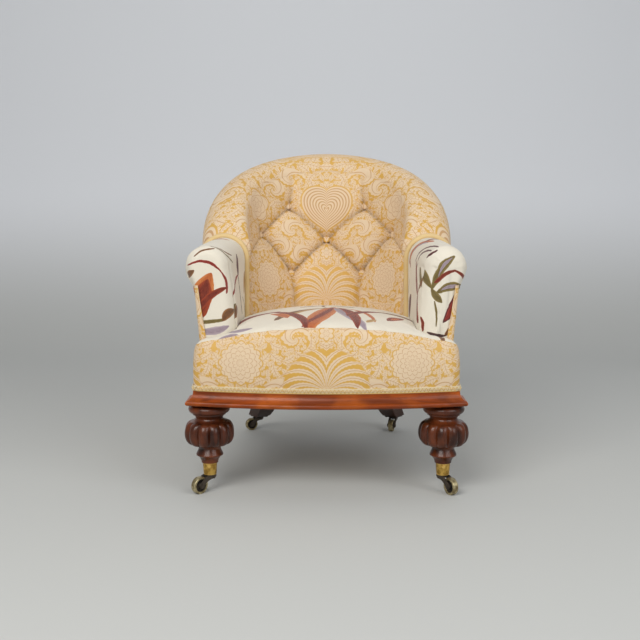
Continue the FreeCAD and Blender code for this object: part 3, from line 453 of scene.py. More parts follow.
# Nothing sinks at the two ends of the back, where the arms join it.
edge_fade = np.clip((1.0 - np.abs(2 * columns / back_steps - 1)) * 24, 0, 1)
shown_share = shown_share * edge_fade
spots = np.array([vertex.co[:] for vertex in mesh.vertices])
spots -= inward * (depth * shown_share)[:, None]
mesh.vertices.foreach_set("co", spots.ravel())
# Closeness to the nearest pleat is kept on the points, and the damask darkens the creases by it: painted
# shade.
store(back, "crease_shade", np.exp(-nearest / 0.0024) * shown_share)
store(back, "held", np.maximum(held, 1.0 - shown_share))
close_up(back)
swell(back, stored(back, "held"), pressure=3.0, cap=0.006)
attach(back, "chair")
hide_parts("inside_back")
print("back padding:", len(back.data.polygons), "faces")


# %% [markdown]
# ## The arms' padding
# Each arm is wrapped in the embroidered cloth: up the inside, over the roll, and round the front in a
# blunt knuckle. The grid runs from the back forward, and its last steps draw the section in to close
# the front. The map has two fields, one for the wrap and one for the flat of the front.

# %% Arm padding, right and left
wrap_steps = 84
knuckle_steps = 24
arm_steps = wrap_steps + knuckle_steps
front_field = 0.300


def closed_ring(place, shrink):
    """The full section in front of the wooden stump, drawn in towards the middle of the roll."""
    points, lengths, shown = pad_ring(place)
    low = place.roll_z - tuck_drop
    outside = [(place.face(mix(low, foot_z, step / 32)), mix(low, foot_z, step / 32)) for step in range(32)]
    across = [(mix(place.face(foot_z), points[0][0], step / 8), foot_z) for step in range(9)]
    full = points[:shown] + outside + across
    drawn = []
    for outward, z in full:
        above = max(z - place.roll_z, 0.0)
        drawn.append((mix(outward, place.roll_out, shrink), z - above * shrink))
    return drawn


def arm_ring(a):
    """The place and the section at a share of the grid's length."""
    step = round(a * arm_steps)
    if step <= wrap_steps:
        place = WallPlace(90.0, mix(0.0004, arm_front, step / wrap_steps))
        return place, pad_ring(place)[0]
    share = (step - wrap_steps - 1) / (knuckle_steps - 1)
    shrink = 0.86 * share ** 1.6
    reach = 1.0 - (1.0 - min(shrink / 0.6, 1.0)) ** 3.4
    place = WallPlace(90.0, arm_front + knuckle * reach)
    return place, closed_ring(place, shrink)


def make_arm(side, name):
    sections = [arm_ring(step / arm_steps) for step in range(arm_steps + 1)]
    lengths = pad_ring(sections[0][0])[1]

    def spot(a, b):
        place, points = sections[round(a * arm_steps)]
        return mirrored(place.at(*points[round(b * ring_count)]), side)

    def cloth(a, b):
        here = spot(a, b)
        if round(a * arm_steps) <= wrap_steps:
            return (-here.y, lengths[round(b * ring_count)])
        return (front_field + abs(here.x), here.z)

    piece = bent_grid(name, arm_steps, ring_count, spot, cloth)
    held = np.zeros(len(piece.data.vertices))
    for vertex in piece.data.vertices:
        column = vertex.index % (arm_steps + 1)
        row = vertex.index // (arm_steps + 1)
        behind = row > inside_steps + roll_steps
        before_stump = column <= wrap_steps + 1
        held[vertex.index] = 1.0 if behind and before_stump or column < 2 or row < 3 else 0.0
    store(piece, "held", held)
    close_up(piece)
    swell(piece, stored(piece, "held"), pressure=1.6, cap=0.003, frames=10)
    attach(piece, "chair")
    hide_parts(name.replace("padding", "pad"))
    print(name, len(piece.data.polygons), "faces")
    return piece


right_arm = make_arm(1, "right_arm_padding")
left_arm = make_arm(-1, "left_arm_padding")


# %% [markdown]
# ## The seat
# The seat is springs under a thick crown of stuffing. A copy of its three CAD solids is made one skin
# by a voxel remesh, which loses the thin gaps between them, and is then smoothed and swelled a little.
# Only its top and its front are free to swell.

# %% Seat padding


def copied(nodes, name):
    """One new mesh from copies of CAD nodes, with their loose triangles merged."""
    copies = []
    for node in nodes:
        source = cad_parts[node]
        copy = source.copy()
        copy.data = source.data.copy()
        copy.parent = None
        bpy.context.scene.collection.objects.link(copy)
        copy.hide_set(False)
        copies.append(copy)
    piece = joined(copies, name)
    piece.data.name = name
    piece.data.materials.clear()
    bpy.ops.object.mode_set(mode="EDIT")
    bpy.ops.mesh.select_all(action="SELECT")
    bpy.ops.mesh.remove_doubles(threshold=0.00001)
    bpy.ops.object.mode_set(mode="OBJECT")
    return piece


seat = copied(["seat_stuffing", "seat_cover", "front_border"], "seat_padding")
finish_with(seat, "REMESH", mode="VOXEL", voxel_size=0.005)
finish_with(seat, "SMOOTH", factor=0.5, iterations=6)
print("seat padding:", len(seat.data.polygons), "faces")
spots = np.array([vertex.co[:] for vertex in seat.data.vertices])
normals = np.array([vertex.normal[:] for vertex in seat.data.vertices])
crown_foot = 0.32
border_back = -0.256
top_side = (normals[:, 2] > 0.3) & (spots[:, 2] > crown_foot)
front_side = (spots[:, 1] < border_back) & (spots[:, 2] > 0.24)
swell(seat, np.where(top_side | front_side, 0.0, 1.0), pressure=1.6, cap=0.004, frames=10)
finish_with(seat, "SUBSURF", levels=1, render_levels=1)
only(seat)
bpy.ops.object.shade_smooth()
flat_map = seat.data.uv_layers[0] if seat.data.uv_layers else seat.data.uv_layers.new(name="UVMap")
for loop in seat.data.loops:
    spot = seat.data.vertices[loop.vertex_index].co
    flat_map.data[loop.index].uv = (spot.x, spot.y)
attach(seat, "chair")
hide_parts("seat_stuffing", "seat_cover")


# %% [markdown]
# ## The front border
# A band of damask closes the front of the seat and turns both corners. It is a grid on a path along
# the bowed front. A shrinkwrap lays it on the stuffing, and a thickness makes it a closed skin.

# %% Border path and cloth
corner_x, corner_y, centre_y = 0.283, -0.296, -0.331
fall = corner_y - centre_y
bow_radius = (corner_x ** 2 + fall ** 2) / (2 * fall)


def bow_y(x):
    return centre_y + bow_radius - math.sqrt(bow_radius ** 2 - x ** 2)


seam_middle, seam_side, seam_half = 0.372, 0.328, 0.286
border_foot = 0.229


def seam_height(x):
    drop = seam_middle - seam_side
    radius = (seam_half ** 2 + drop ** 2) / (2 * drop)
    return seam_middle - radius + math.sqrt(radius ** 2 - min(abs(x), seam_half) ** 2)


def front_path(out=0.0, round_off=0.016, back_to=-0.252, steps=150):
    """Evenly spaced (point, outward) pairs round the front, from left to right, and the whole length."""
    side_x = corner_x + 0.003 + out
    turn_x = side_x - round_off
    turn_y = bow_y(turn_x) - out + round_off * 0.96
    line = [Vector((side_x, y, 0)) for y in np.linspace(back_to, turn_y, 8)]
    for angle in np.linspace(0, 1.43, 12)[1:]:
        line.append(Vector((turn_x + round_off * math.cos(angle), turn_y - round_off * math.sin(angle), 0)))
    for x in np.linspace(turn_x - 0.004, 0, 60):
        line.append(Vector((x, bow_y(x) - out, 0)))
    line = [Vector((-p.x, p.y, 0)) for p in line] + [Vector(p) for p in reversed(line[:-1])]
    lengths = np.concatenate([[0], np.cumsum([(b - a).length for a, b in zip(line, line[1:])])])
    even = np.linspace(0, lengths[-1], steps + 1)
    xs = np.interp(even, lengths, [p.x for p in line])
    ys = np.interp(even, lengths, [p.y for p in line])
    points = [Vector((x, y, 0)) for x, y in zip(xs, ys)]
    path = []
    for index, point in enumerate(points):
        ahead = points[min(index + 1, steps)] - points[max(index - 1, 0)]
        path.append((point, Vector((ahead.y, -ahead.x, 0)).normalized()))
    return path, lengths[-1]


border_steps = 150
border_rows = 34
border_line, border_length = front_path(steps=border_steps)


def border_point(a, b):
    point, outward = border_line[round(a * border_steps)]
    z = mix(border_foot, seam_height(point.x), b)
    swell_out = 0.005 * 4 * b * (1 - b)
    tuck_in = -0.010 * max(b - 0.86, 0.0) ** 1.5 / 0.14 ** 1.5
    return point + outward * (swell_out + tuck_in + 0.002) + Vector((0, 0, z))


def border_cloth(a, b):
    point, outward = border_line[round(a * border_steps)]
    return ((a - 0.5) * border_length, mix(border_foot, seam_height(point.x), b) - 0.155)


border = bent_grid("front_border_cloth", border_steps, border_rows, border_point, border_cloth)
only(border)
wrap = border.modifiers.new("laid_on", "SHRINKWRAP")
wrap.target = seat
wrap.wrap_method = "NEAREST_SURFACEPOINT"
wrap.wrap_mode = "ABOVE_SURFACE"
wrap.offset = 0.0012
held_rows = border.vertex_groups.new(name="laid")
for vertex in border.data.vertices:
    row = vertex.index // (border_steps + 1)
    held_rows.add([vertex.index], 0.0 if row < 3 else 1.0, "REPLACE")
wrap.vertex_group = "laid"
bpy.ops.object.modifier_apply(modifier=wrap.name)
border.vertex_groups.clear()
finish_with(border, "SMOOTH", factor=0.5, iterations=2)
finish_with(border, "SUBSURF", levels=1, render_levels=1)
finish_with(border, "SOLIDIFY", thickness=0.0016, offset=-1.0)
close_up(border, distance=0.000001, fill=False)
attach(border, "chair")
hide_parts("front_border")
print("border:", len(border.data.polygons), "faces, along", round(border_length, 3), "m")


# %% [markdown]
# ## The outside covers
# The outside is flat cloth over the frame, in three widths that meet at the back posts. Each is a bent
# grid with a little slack between its edges, and the edges are turned in where they are sewn.

# %% Outside covers
post_turn = 38.0
mean_radius = 0.255   # of the outside, for lengths along it
cover_foot = 0.201
cover_drop = 0.0415   # the top edge lies this far below the roll's middle


def cover(name, first, last, node, mirror=1, flat_forward=0.0, across=90):
    """Cloth on the outside between two turns, and on along the arm where flat_forward is given."""
    curve = math.radians(abs(last - first)) * mean_radius
    total = curve + flat_forward

    def wall(a):
        run = a * total
        if run <= curve or flat_forward == 0.0:
            return WallPlace(mix(first, last, min(run / curve, 1.0)))
        return WallPlace(last, run - curve)

    places = {}

    def at(a, b):
        if a not in places:
            places[a] = wall(a)
        place = places[a]
        z = mix(cover_foot, place.roll_z - cover_drop, b)
        edge = min(a, 1 - a) * total
        sewn = math.exp(-edge / 0.004) * 0.0025
        slack = 0.0015 * math.sin(math.pi * b) * min(1.0, edge / 0.03)
        return mirrored(place.at(place.face(z) + slack - sewn, z), mirror)

    def on_map(a, b):
        place = wall(a)
        up = mix(cover_foot, place.roll_z - cover_drop, b)
        return (math.radians(first) * mean_radius + a * total, up)

    piece = bent_grid(name, across, 56, at, on_map)
    close_up(piece, fill=False)
    face = piece.data.polygons[len(piece.data.polygons) // 2]
    if face.normal.dot(face.center - Vector((0, -0.05, face.center.z))) < 0:
        only(piece)
        bpy.ops.object.mode_set(mode="EDIT")
        bpy.ops.mesh.select_all(action="SELECT")
        bpy.ops.mesh.flip_normals()
        bpy.ops.object.mode_set(mode="OBJECT")
    finish_with(piece, "SOLIDIFY", thickness=0.0030, offset=-1.0)
    finish_with(piece, "BEVEL", width=0.0008, segments=2, limit_method="ANGLE")
    only(piece)
    bpy.ops.object.shade_smooth()
    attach(piece, "chair")
    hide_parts(node)
    print(name, len(piece.data.polygons), "faces")
    return piece


outside_back = cover("outside_back_cloth", -post_turn + 0.1, post_turn - 0.1, "outside_back")
outside_right = cover("right_outside_arm_cloth", post_turn, 90.0, "right_outside_arm",
                      flat_forward=arm_front - 0.001, across=110)
outside_left = cover("left_outside_arm_cloth", post_turn, 90.0, "left_outside_arm",
                     mirror=-1, flat_forward=arm_front - 0.001,
                     across=110)


# %% [markdown]
# ## The facings of the arms
# The damask of each outside cover is carried round the front edge of the arm and sewn down there, so
# a narrow upright facing shows beside the embroidery. It follows the edge round a small corner.

# %% Front facings
facing_corner = 0.008
facing_wide = 0.009
facing_bottom = 0.318


def facing(name, mirror):
    side_run = 0.022
    corner_run = facing_corner * math.pi / 2
    total = side_run + corner_run + facing_wide
    facing_top = front_place.roll_z - 0.038

    def at(a, b):
        z = mix(facing_bottom, facing_top, b)
        outside = half_width + front_place.face(z) + 0.0008 - 0.0060 * b ** 3
        front = widest - arm_front - knuckle - 0.0022
        run = a * total
        if run < side_run:
            spot = Vector((outside, front + facing_corner + side_run - run, z))
        elif run < side_run + corner_run:
            angle = (run - side_run) / facing_corner
            inward = facing_corner * (1 - math.cos(angle))
            spot = Vector((outside - inward, front + facing_corner * (1 - math.sin(angle)), z))
        else:
            across = (run - side_run - corner_run) * (1.0 - 0.95 * b)
            spot = Vector((outside - facing_corner - across, front, z))
        return mirrored(spot, mirror)

    piece = bent_grid(name, 22, 40, at, lambda a, b: (a * total + 0.06, mix(facing_bottom, facing_top, b)))
    finish_with(piece, "SOLIDIFY", thickness=0.0022, offset=-1.0 if mirror < 0 else 1.0)
    finish_with(piece, "BEVEL", width=0.0006, segments=2, limit_method="ANGLE")
    close_up(piece, distance=0.000001, fill=False)
    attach(piece, "chair")
    return piece


facings = [facing("right_arm_facing", 1), facing("left_arm_facing", -1)]
print("facings:", len(facings))


# %% [markdown]
# ## The buttons
# A covered button is a metal mould with cloth drawn round it, so it is a flat dome with small gathers
# at its edge. One is made from a sphere, pressed flat below, and copied to each place, with its own
# mesh, on the floor of its dimple.

# %% Covered buttons


def cloth_point(turn, z, lift):
    place = WallPlace(turn)
    return place.at(place.inner(z) - lift, z)


def cloth_normal(turn, z):
    across = cloth_point(turn + 2, z, 0) - cloth_point(turn - 2, z, 0)
    up = cloth_point(turn, z + 0.01, 0) - cloth_point(turn, z - 0.01, 0)
    normal = across.cross(up).normalized()
    return normal if normal.dot(WallPlace(turn).out) < 0 else -normal


button_radius = 0.0095
gathers = 13
bpy.ops.object.select_all(action="DESELECT")
bpy.ops.mesh.primitive_uv_sphere_add(segments=40, ring_count=20, radius=button_radius, location=(0, 0, 0))
pattern_button = bpy.context.object
for vertex in pattern_button.data.vertices:
    turn = math.atan2(vertex.co.y, vertex.co.x)
    rim = math.hypot(vertex.co.x, vertex.co.y) / button_radius
    vertex.co.z = vertex.co.z * 0.52 if vertex.co.z > 0 else vertex.co.z * 0.34
    pinch = 1.0 + 0.022 * math.sin(turn * gathers) * rim ** 6
    vertex.co.x *= pinch
    vertex.co.y *= pinch
button_copies = []
for turn, z in buttons:
    copy = pattern_button.copy()
    copy.data = pattern_button.data.copy()
    bpy.context.scene.collection.objects.link(copy)
    normal = cloth_normal(turn, z)
    spot = cloth_point(turn, z, 0) - normal * (valley_depth + dimple_depth - crown)
    turned = normal.to_track_quat("Z", "Y").to_matrix().to_4x4()
    turned.translation = spot
    copy.data.transform(turned)
    for loop in copy.data.loops:
        point = copy.data.vertices[loop.vertex_index].co
        copy.data.uv_layers[0].data[loop.index].uv = (point.x, point.z)
    button_copies.append(copy)
bpy.data.objects.remove(pattern_button)
back_buttons = joined(button_copies, "covered_buttons")
bpy.ops.object.shade_smooth()
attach(back_buttons, "chair")
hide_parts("back_buttons")
print("buttons:", len(buttons))


# %% [markdown]
# ## The welts where the arms meet the back
# A plain beige strip of cloth covers the joint between the damask and the embroidered cloth. It lies
# along the section of the pad, up the inside and over the roll. It is a flattened round strip: a grid
# that is bent round a line and closed into a tube.

# %% Strips along a line of points


def strip(name, points, wide, thick):
    """A flattened round strip along points; each point comes with the direction it faces."""
    rings = 12

    def at(a, b):
        index = round(a * (len(points) - 1))
        point, facing = points[index]
        ahead = (points[min(index + 1, len(points) - 1)][0] - points[max(index - 1, 0)][0]).normalized()
        aside = ahead.cross(facing).normalized()
        angle = 2 * math.pi * b
        size = min(1.0, math.sqrt(max(min(index, len(points) - 1 - index) / 3, 0.02)))
        spread = aside * (wide / 2 * math.cos(angle) * size)
        return point + spread + facing * (thick / 2 * math.sin(angle) * size)

    def on_map(a, b):
        return (a * len(points) * 0.004, b * wide)

    piece = bent_grid(name, len(points) - 1, rings, at, on_map)
    close_up(piece)
    return piece


def section_line(turn, forward, lift):
    """Points up the inside and over the roll at one place, each with its outward facing."""
    place = WallPlace(turn, forward)
    points, lengths, shown = pad_ring(place)
    line = []
    for index in range(8, shown - 1):
        facing = section_normal(place, points, index)
        line.append((place.at(*points[index]) + facing * lift, facing))
    return line


welts = []
for side, name in ((1, "right_arm_welt"), (-1, "left_arm_welt")):
    line = [(mirrored(point, side), mirrored(facing, side))
            for point, facing in section_line(90.0, 0.002, 0.0040)]
    welt = strip(name, line, 0.018, 0.0130)
    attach(welt, "chair")
    welts.append(welt)
print("welts:", len(welts))


# %% [markdown]
# ## The gimp
# Gimp is a narrow braid that hides tacks. Three cords cross each other in waves between two straight
# edge cords. Each cord is a thin tube along a wave on the path, so that the braid has real relief.

# %% A braid along a path


def braid(name, path, z_middle, height, node):
    """Three waving cords and two edge cords along a path of (point, outward) pairs."""
    wave = 0.0085
    ring = 5
    lengths = np.concatenate([[0], np.cumsum([(b[0] - a[0]).length for a, b in zip(path, path[1:])])])
    total = lengths[-1]
    xs, ys = [[p[0][axis] for p in path] for axis in (0, 1)]
    nx, ny = [[p[1][axis] for p in path] for axis in (0, 1)]
    cords = []
    for number in range(5):
        edge = number > 2
        steps = int(total / (0.012 if edge else wave / 8))

        def at(a, b, number=number, edge=edge):
            run = a * total
            point = Vector((np.interp(run, lengths, xs), np.interp(run, lengths, ys), 0))
            outward = Vector((np.interp(run, lengths, nx), np.interp(run, lengths, ny), 0)).normalized()
            turn = 2 * math.pi * (run / wave + number / 3)
            if edge:
                rise, lift, thick = (number - 3.5) * height * 0.84, 0.0012, 0.0011
            else:
                rise = math.sin(turn) * height * 0.32
                lift, thick = 0.0013 + 0.0006 * math.cos(2 * turn), 0.0012
            angle = 2 * math.pi * b
            z = z_middle + rise + thick * math.sin(angle)
            return point + outward * (lift + thick * math.cos(angle)) + Vector((0, 0, z))

        def on_map(a, b, number=number):
            return (a * total, number + b)

        cord = bent_grid(f"{name}_{number}", steps, ring, at, on_map)
        close_up(cord)
        cords.append(cord)
    piece = joined(cords, name)
    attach(piece, "chair")
    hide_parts(node)
    print(name, round(total, 3), "m,", len(piece.data.polygons), "faces")
    return piece


gimp_out = centre_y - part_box("front_gimp")[0][1] - 0.0024
gimp_line = front_path(out=gimp_out, round_off=0.012, back_to=-0.246, steps=220)[0]
print("the gimp stands", round(gimp_out * 1000, 1), "mm before the bow of the rail")
front_gimp = braid("front_gimp_braid", gimp_line, 0.2338, 0.0115, "front_gimp")

foot_places = [WallPlace(90.0, forward) for forward in np.linspace(0.222, 0.0, 30)]
foot_places += [WallPlace(turn) for turn in np.linspace(88.0, -88.0, 90)]
foot_places += [WallPlace(-90.0, forward) for forward in np.linspace(0.0, 0.222, 30)]
foot_line = [(place.base + place.out * 0.0006, place.out) for place in foot_places]
back_gimp = braid("back_gimp_braid", foot_line, 0.2062, 0.0115, "back_gimp")


# %% [markdown]
# ## The cloth under the seat and inside the frame
# Woven straps are drawn across the underside of the frame, over and under each other, and hessian lies
# above the springs and behind the pads. The straps are bent grids with a small wave at each crossing.
# The hessian sheets are copies of their thin CAD solids, with their loose triangles merged.

# %% Webbing
strap_wide = 0.045
strap_z = 0.1960
pitch_x, pitch_y = 0.055, 0.06875
front_row = -0.215
front_end = -0.2785
plan_half = half_width - 0.018
plan_back = run_back - 0.018
straps = []
for number in range(5):
    x = (number - 2) * pitch_x
    rear = widest + plan_back * math.sqrt(1 - (x / plan_half) ** 2)
    straps.append(("y", x, front_end, rear, number % 2))
    y = front_row + number * pitch_y
    reach = plan_half * math.sqrt(1 - (max(y - widest, 0.0) / plan_back) ** 2)
    straps.append(("x", y, -reach, reach, (number + 1) % 2))
strap_pieces = []
for index, (way, place_at, start, end, phase) in enumerate(straps):
    def at(a, b, way=way, place_at=place_at, start=start, end=end, phase=phase):
        run = mix(start, end, a)
        aside = place_at + (b - 0.5) * strap_wide
        pitch = pitch_y if way == "y" else pitch_x
        origin = front_row if way == "y" else 0.0
        wave = math.cos(math.pi * (run - origin) / pitch) * (1 if phase else -1)
        z = strap_z + 0.0005 * wave
        return Vector((aside, run, z)) if way == "y" else Vector((run, aside, z))

    def on_map(a, b, start=start, end=end):
        return (mix(start, end, a), (b - 0.5) * strap_wide)

    piece = bent_grid(f"strap_{index}", 60, 6, at, on_map)
    finish_with(piece, "SOLIDIFY", thickness=0.0009, offset=0.0)
    strap_pieces.append(piece)
webbing = joined(strap_pieces, "seat_webbing_straps")
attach(webbing, "chair")
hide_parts("seat_webbing")
print("straps under the seat:", len(straps))

# %% Hessian and back webbing
lining = []
cuts = {"seat_hessian": ((0.47, 0.44), 0.183), "back_hessian": ((0.80, 0.48), 0.318),
        "right_arm_hessian": ((0.24, 0.25), 0.058), "left_arm_hessian": ((0.24, 0.25), 0.058)}
for node in (*cuts, "back_webbing"):
    slot_name = "hessian" if node in cuts else "webbing"
    piece = copied([node], node + "_cloth")
    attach(piece, "chair")
    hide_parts(node)
    lining.append((piece, slot_name))
print("linings:", len(lining))


# %% [markdown]
# ## Building a finish from nodes
# A finish is a small sum: values go in, numbers are worked out, and a colour, a roughness and a bump
# come out. Each step of the sum is a node. Here a number that a node works out can be added, taken
# away and multiplied like a plain one, so that a pattern reads as a sum. A colour is given as the eye
# reads it, from 0 to 255, and changed to the light values that the shader needs.

# %% Helpers for sums


def shade(red, green, blue):
    light = [((c / 255 + 0.055) / 1.055) ** 2.4 if c > 10 else c / 255 / 12.92 for c in (red, green, blue)]
    return (*light, 1.0)


def feed(tree, socket, value):
    """Gives a socket a plain value, or links what a node works out to it."""
    value = getattr(value, "socket", value)
    if isinstance(value, bpy.types.NodeSocket):
        tree.links.new(value, socket)
    else:
        socket.default_value = value


class Sum:
    """A number that a node works out."""

    def __init__(self, tree, socket):
        self.tree = tree
        self.socket = socket

    def __add__(self, other):
        return calc("ADD", self, other)

    def __sub__(self, other):
        return calc("SUBTRACT", self, other)

    def __rsub__(self, other):
        return calc("SUBTRACT", other, self)

    def __mul__(self, other):
        return calc("MULTIPLY", self, other)

    def __truediv__(self, other):
        return calc("DIVIDE", self, other)

    def __abs__(self):
        return calc("ABSOLUTE", self)

    __radd__ = __add__
    __rmul__ = __mul__


def step_of(kind, values):
    """A new node in the tree that the values come from, with the values fed to its first inputs."""
    tree = next(value.tree for value in values if isinstance(value, Sum))
    node = tree.nodes.new(kind)
    for socket, value in zip(node.inputs, values):
        feed(tree, socket, value)
    return node, Sum(tree, node.outputs[0])


def calc(operation, *values, clamp=False):
    node, result = step_of("ShaderNodeMath", values)
    node.operation = operation
    node.use_clamp = clamp
    return result


def span(value, low, high, to_low=0.0, to_high=1.0):
    """A smooth step between two values."""
    node, result = step_of("ShaderNodeMapRange", (value, low, high, to_low, to_high))
    node.interpolation_type = "SMOOTHSTEP"
    return result


def sine(value):
    return calc("SINE", value)


def cosine(value):
    return calc("COSINE", value)


def fract(value):
    return calc("FRACT", value)


def root(value):
    return calc("SQRT", value)


def power(value, exponent):
    return calc("POWER", value, exponent)


def most(first, second):
    return calc("MAXIMUM", first, second)


# %% Helpers for finishes


class Finish:
    """A material and the steps that fill it."""

    def __init__(self, name, roughness=0.6, **shader_values):
        self.material = bpy.data.materials.new(name)
        self.material.use_nodes = True
        self.tree = self.material.node_tree
        self.shader = self.tree.nodes["Principled BSDF"]
        self.shader.inputs["Roughness"].default_value = roughness
        for key, value in shader_values.items():
            self.shader.inputs[key.replace("_", " ")].default_value = value
        self.coordinates = self.tree.nodes.new("ShaderNodeTexCoord")
        self.normal = None

    def number(self, socket):
        return Sum(self.tree, socket)

    def tint(self, share, first, second):
        node = self.tree.nodes.new("ShaderNodeMix")
        node.data_type = "RGBA"
        feed(self.tree, node.inputs[0], share)
        feed(self.tree, node.inputs[6], first)
        feed(self.tree, node.inputs[7], second)
        return node.outputs[2]

    def place(self, source="Object", scale=(1, 1, 1), turn=(0, 0, 0)):
        node = self.tree.nodes.new("ShaderNodeMapping")
        node.inputs["Rotation"].default_value = turn
        node.inputs["Scale"].default_value = scale
        feed(self.tree, node.inputs["Vector"], self.coordinates.outputs[source])
        return node.outputs[0]

    def parts(self, vector):
        node = self.tree.nodes.new("ShaderNodeSeparateXYZ")
        feed(self.tree, node.inputs[0], vector)
        return [self.number(socket) for socket in node.outputs]

    def vector(self, x, y):
        node = self.tree.nodes.new("ShaderNodeCombineXYZ")
        feed(self.tree, node.inputs[0], x)
        feed(self.tree, node.inputs[1], y)
        return node.outputs[0]

    def noise(self, vector, scale, detail=3.0, roughness=0.5, bend=0.0):
        node = self.tree.nodes.new("ShaderNodeTexNoise")
        feed(self.tree, node.inputs["Vector"], vector)
        node.inputs["Scale"].default_value = scale
        node.inputs["Detail"].default_value = detail
        node.inputs["Roughness"].default_value = roughness
        node.inputs["Distortion"].default_value = bend
        return self.number(node.outputs["Fac"])

    def pointiness(self):
        """How far the surface stands out at a place: a half on the flat, more on edges."""
        node = self.tree.nodes.new("ShaderNodeNewGeometry")
        return self.number(node.outputs["Pointiness"])

    def bump(self, height, distance, strength):
        node = self.tree.nodes.new("ShaderNodeBump")
        feed(self.tree, node.inputs["Strength"], strength)
        node.inputs["Distance"].default_value = distance
        feed(self.tree, node.inputs["Height"], height)
        if self.normal is not None:
            feed(self.tree, node.inputs["Normal"], self.normal)
        self.normal = node.outputs[0]
        feed(self.tree, self.shader.inputs["Normal"], self.normal)

    def colour(self, value):
        feed(self.tree, self.shader.inputs["Base Color"], value)

    def rough(self, value):
        feed(self.tree, self.shader.inputs["Roughness"], value)


# %% [markdown]
# ## Woven damask
# Damask is one cloth in two weaves: a gold satin ground and a raised cream figure, outlined by fine
# darker lines. The figure repeats, and mirrors about upright lines. Here it is drawn with sums on the
# cloth's own map, in millimetres: a palm whose fronds droop, a heart of close lines, a wheel flower,
# a rose and curling leaves. Sprigs of lobed leaves, each turned its own way, fill what is left, so
# that only small patches of the ground still show. Each shape gives three numbers: the shape itself,
# its fine lines, and the ground that is cleared for it.

# %% Shapes for the damask
column = 181.0
row = 195.0


def polar(x, y, centre_x, centre_y):
    """Distance and signed direction from a centre, with the direction measured from straight up."""
    dx = x - centre_x
    dy = y - centre_y
    return root(dx * dx + dy * dy), calc("ARCTAN2", dx, dy)


def petals(radius, angle, tier, count):
    """Fine lines between overlapping petals, in rows round a centre."""
    level = radius / tier
    turn = angle * (count / math.pi) + calc("FLOOR", level) * 0.5
    aside = fract(turn) - 0.5
    tip = 1.0 - aside * aside * 2.6
    return span(abs(fract(level) - tip), 0.04, 0.12, 1.0, 0.0)


def round_flower(x, y, centre_x, centre_y, size, lobes, lobe_size, tier):
    """A lobed round flower with rows of petals."""
    radius, angle = polar(x, y, centre_x, centre_y)
    edge = abs(cosine(angle * (lobes / 2))) * lobe_size + size
    shape = span(radius - edge, -0.6, 0.6, 1.0, 0.0)
    cleared = span(radius - edge, 2.2, 3.4, 1.0, 0.0)
    return shape, petals(radius, angle, tier, lobes / 2), cleared


def palm(x, y, base):
    """Fronds that rise from a base and droop to the sides."""
    radius, angle = polar(x, y, 0.0, base)
    droop = power(radius / 95.0, 2.0) * 0.62
    bent = angle - droop
    aside = abs(fract(bent * 3.6 + 0.5) - 0.5)
    teeth = abs(sine(radius * 0.42)) * 0.07
    wide = 0.41 - power(radius / 100.0, 4.0) * 0.33
    leaf = span(wide - teeth - aside, -0.02, 0.03)
    low = span(abs(angle), 1.5, 1.9, 1.0, 0.0)
    shape = leaf * low * span(radius, 99.0, 101.0, 1.0, 0.0)
    return shape, span(aside, 0.02, 0.06, 1.0, 0.0), low * span(radius, 90.0, 94.0, 1.0, 0.0)


def line_heart(x, y, centre_y, size):
    """A heart of close lines, one inside the other."""
    dy = y - centre_y
    up = dy - root(x * size) * 0.55
    reach = root(x * x + up * up)
    wave = sine(reach * (2 * math.pi / 6.4))
    cleared = span(reach, size + 3.0, size + 4.2, 1.0, 0.0)
    return span(reach, size, size + 1.2, 1.0, 0.0), span(wave, -0.6, 0.0, 1.0, 0.0), cleared


def curl(x, y, centre_x, centre_y, size, way, teeth):
    """A leaf that winds into a curl, with a toothed edge and a vein."""
    radius, angle = polar(x, y, centre_x, centre_y)
    tooth = abs(sine(angle * teeth)) * 0.26
    grow = calc("LOGARITHM", radius + 2.0, math.e) * 2.3
    arm = sine(angle * way + grow)
    inside = span(radius, size, size + 1.2, 1.0, 0.0)
    edge = arm + tooth
    leaf = span(edge, 0.10, 0.22) * inside
    cleared = span(edge, -0.42, -0.30) * inside
    return leaf, span(abs(arm - 0.74), 0.03, 0.09, 1.0, 0.0), cleared


def sprigs(f, x, y, size, shift):
    """Lobed leaves, one in each cell and each turned its own way."""
    place = f.vector(x + shift, y + shift)
    cell = f.tree.nodes.new("ShaderNodeTexVoronoi")
    cell.voronoi_dimensions = "2D"
    feed(f.tree, cell.inputs["Vector"], place)
    cell.inputs["Scale"].default_value = 1.0 / size
    cell.inputs["Randomness"].default_value = 0.8
    px, py = f.parts(place)[:2]
    cx, cy = f.parts(cell.outputs["Position"])[:2]
    turned, other = f.parts(cell.outputs["Color"])[:2]
    angle = turned * (2 * math.pi)
    dx = (px - cx) / size
    dy = (py - cy) / size
    c, s = cosine(angle), sine(angle)
    along = dx * c + dy * s
    aside = dy * c - dx * s
    off = abs(aside - along * along * (other - 0.5))
    lobes = abs(sine((along + off * -0.7) * 13.0))
    body = 1.0 - along * along * 2.6
    wide = body * (0.17 + lobes * 0.17)
    shape = span(wide - off, -0.01, 0.02)
    rib = span(off, 0.010, 0.030, 1.0, 0.0)
    vein = span(lobes, 0.12, 0.34, 1.0, 0.0)
    cleared = span(wide - off, -0.05, -0.03)
    return shape, most(rib, vein * 0.8), cleared


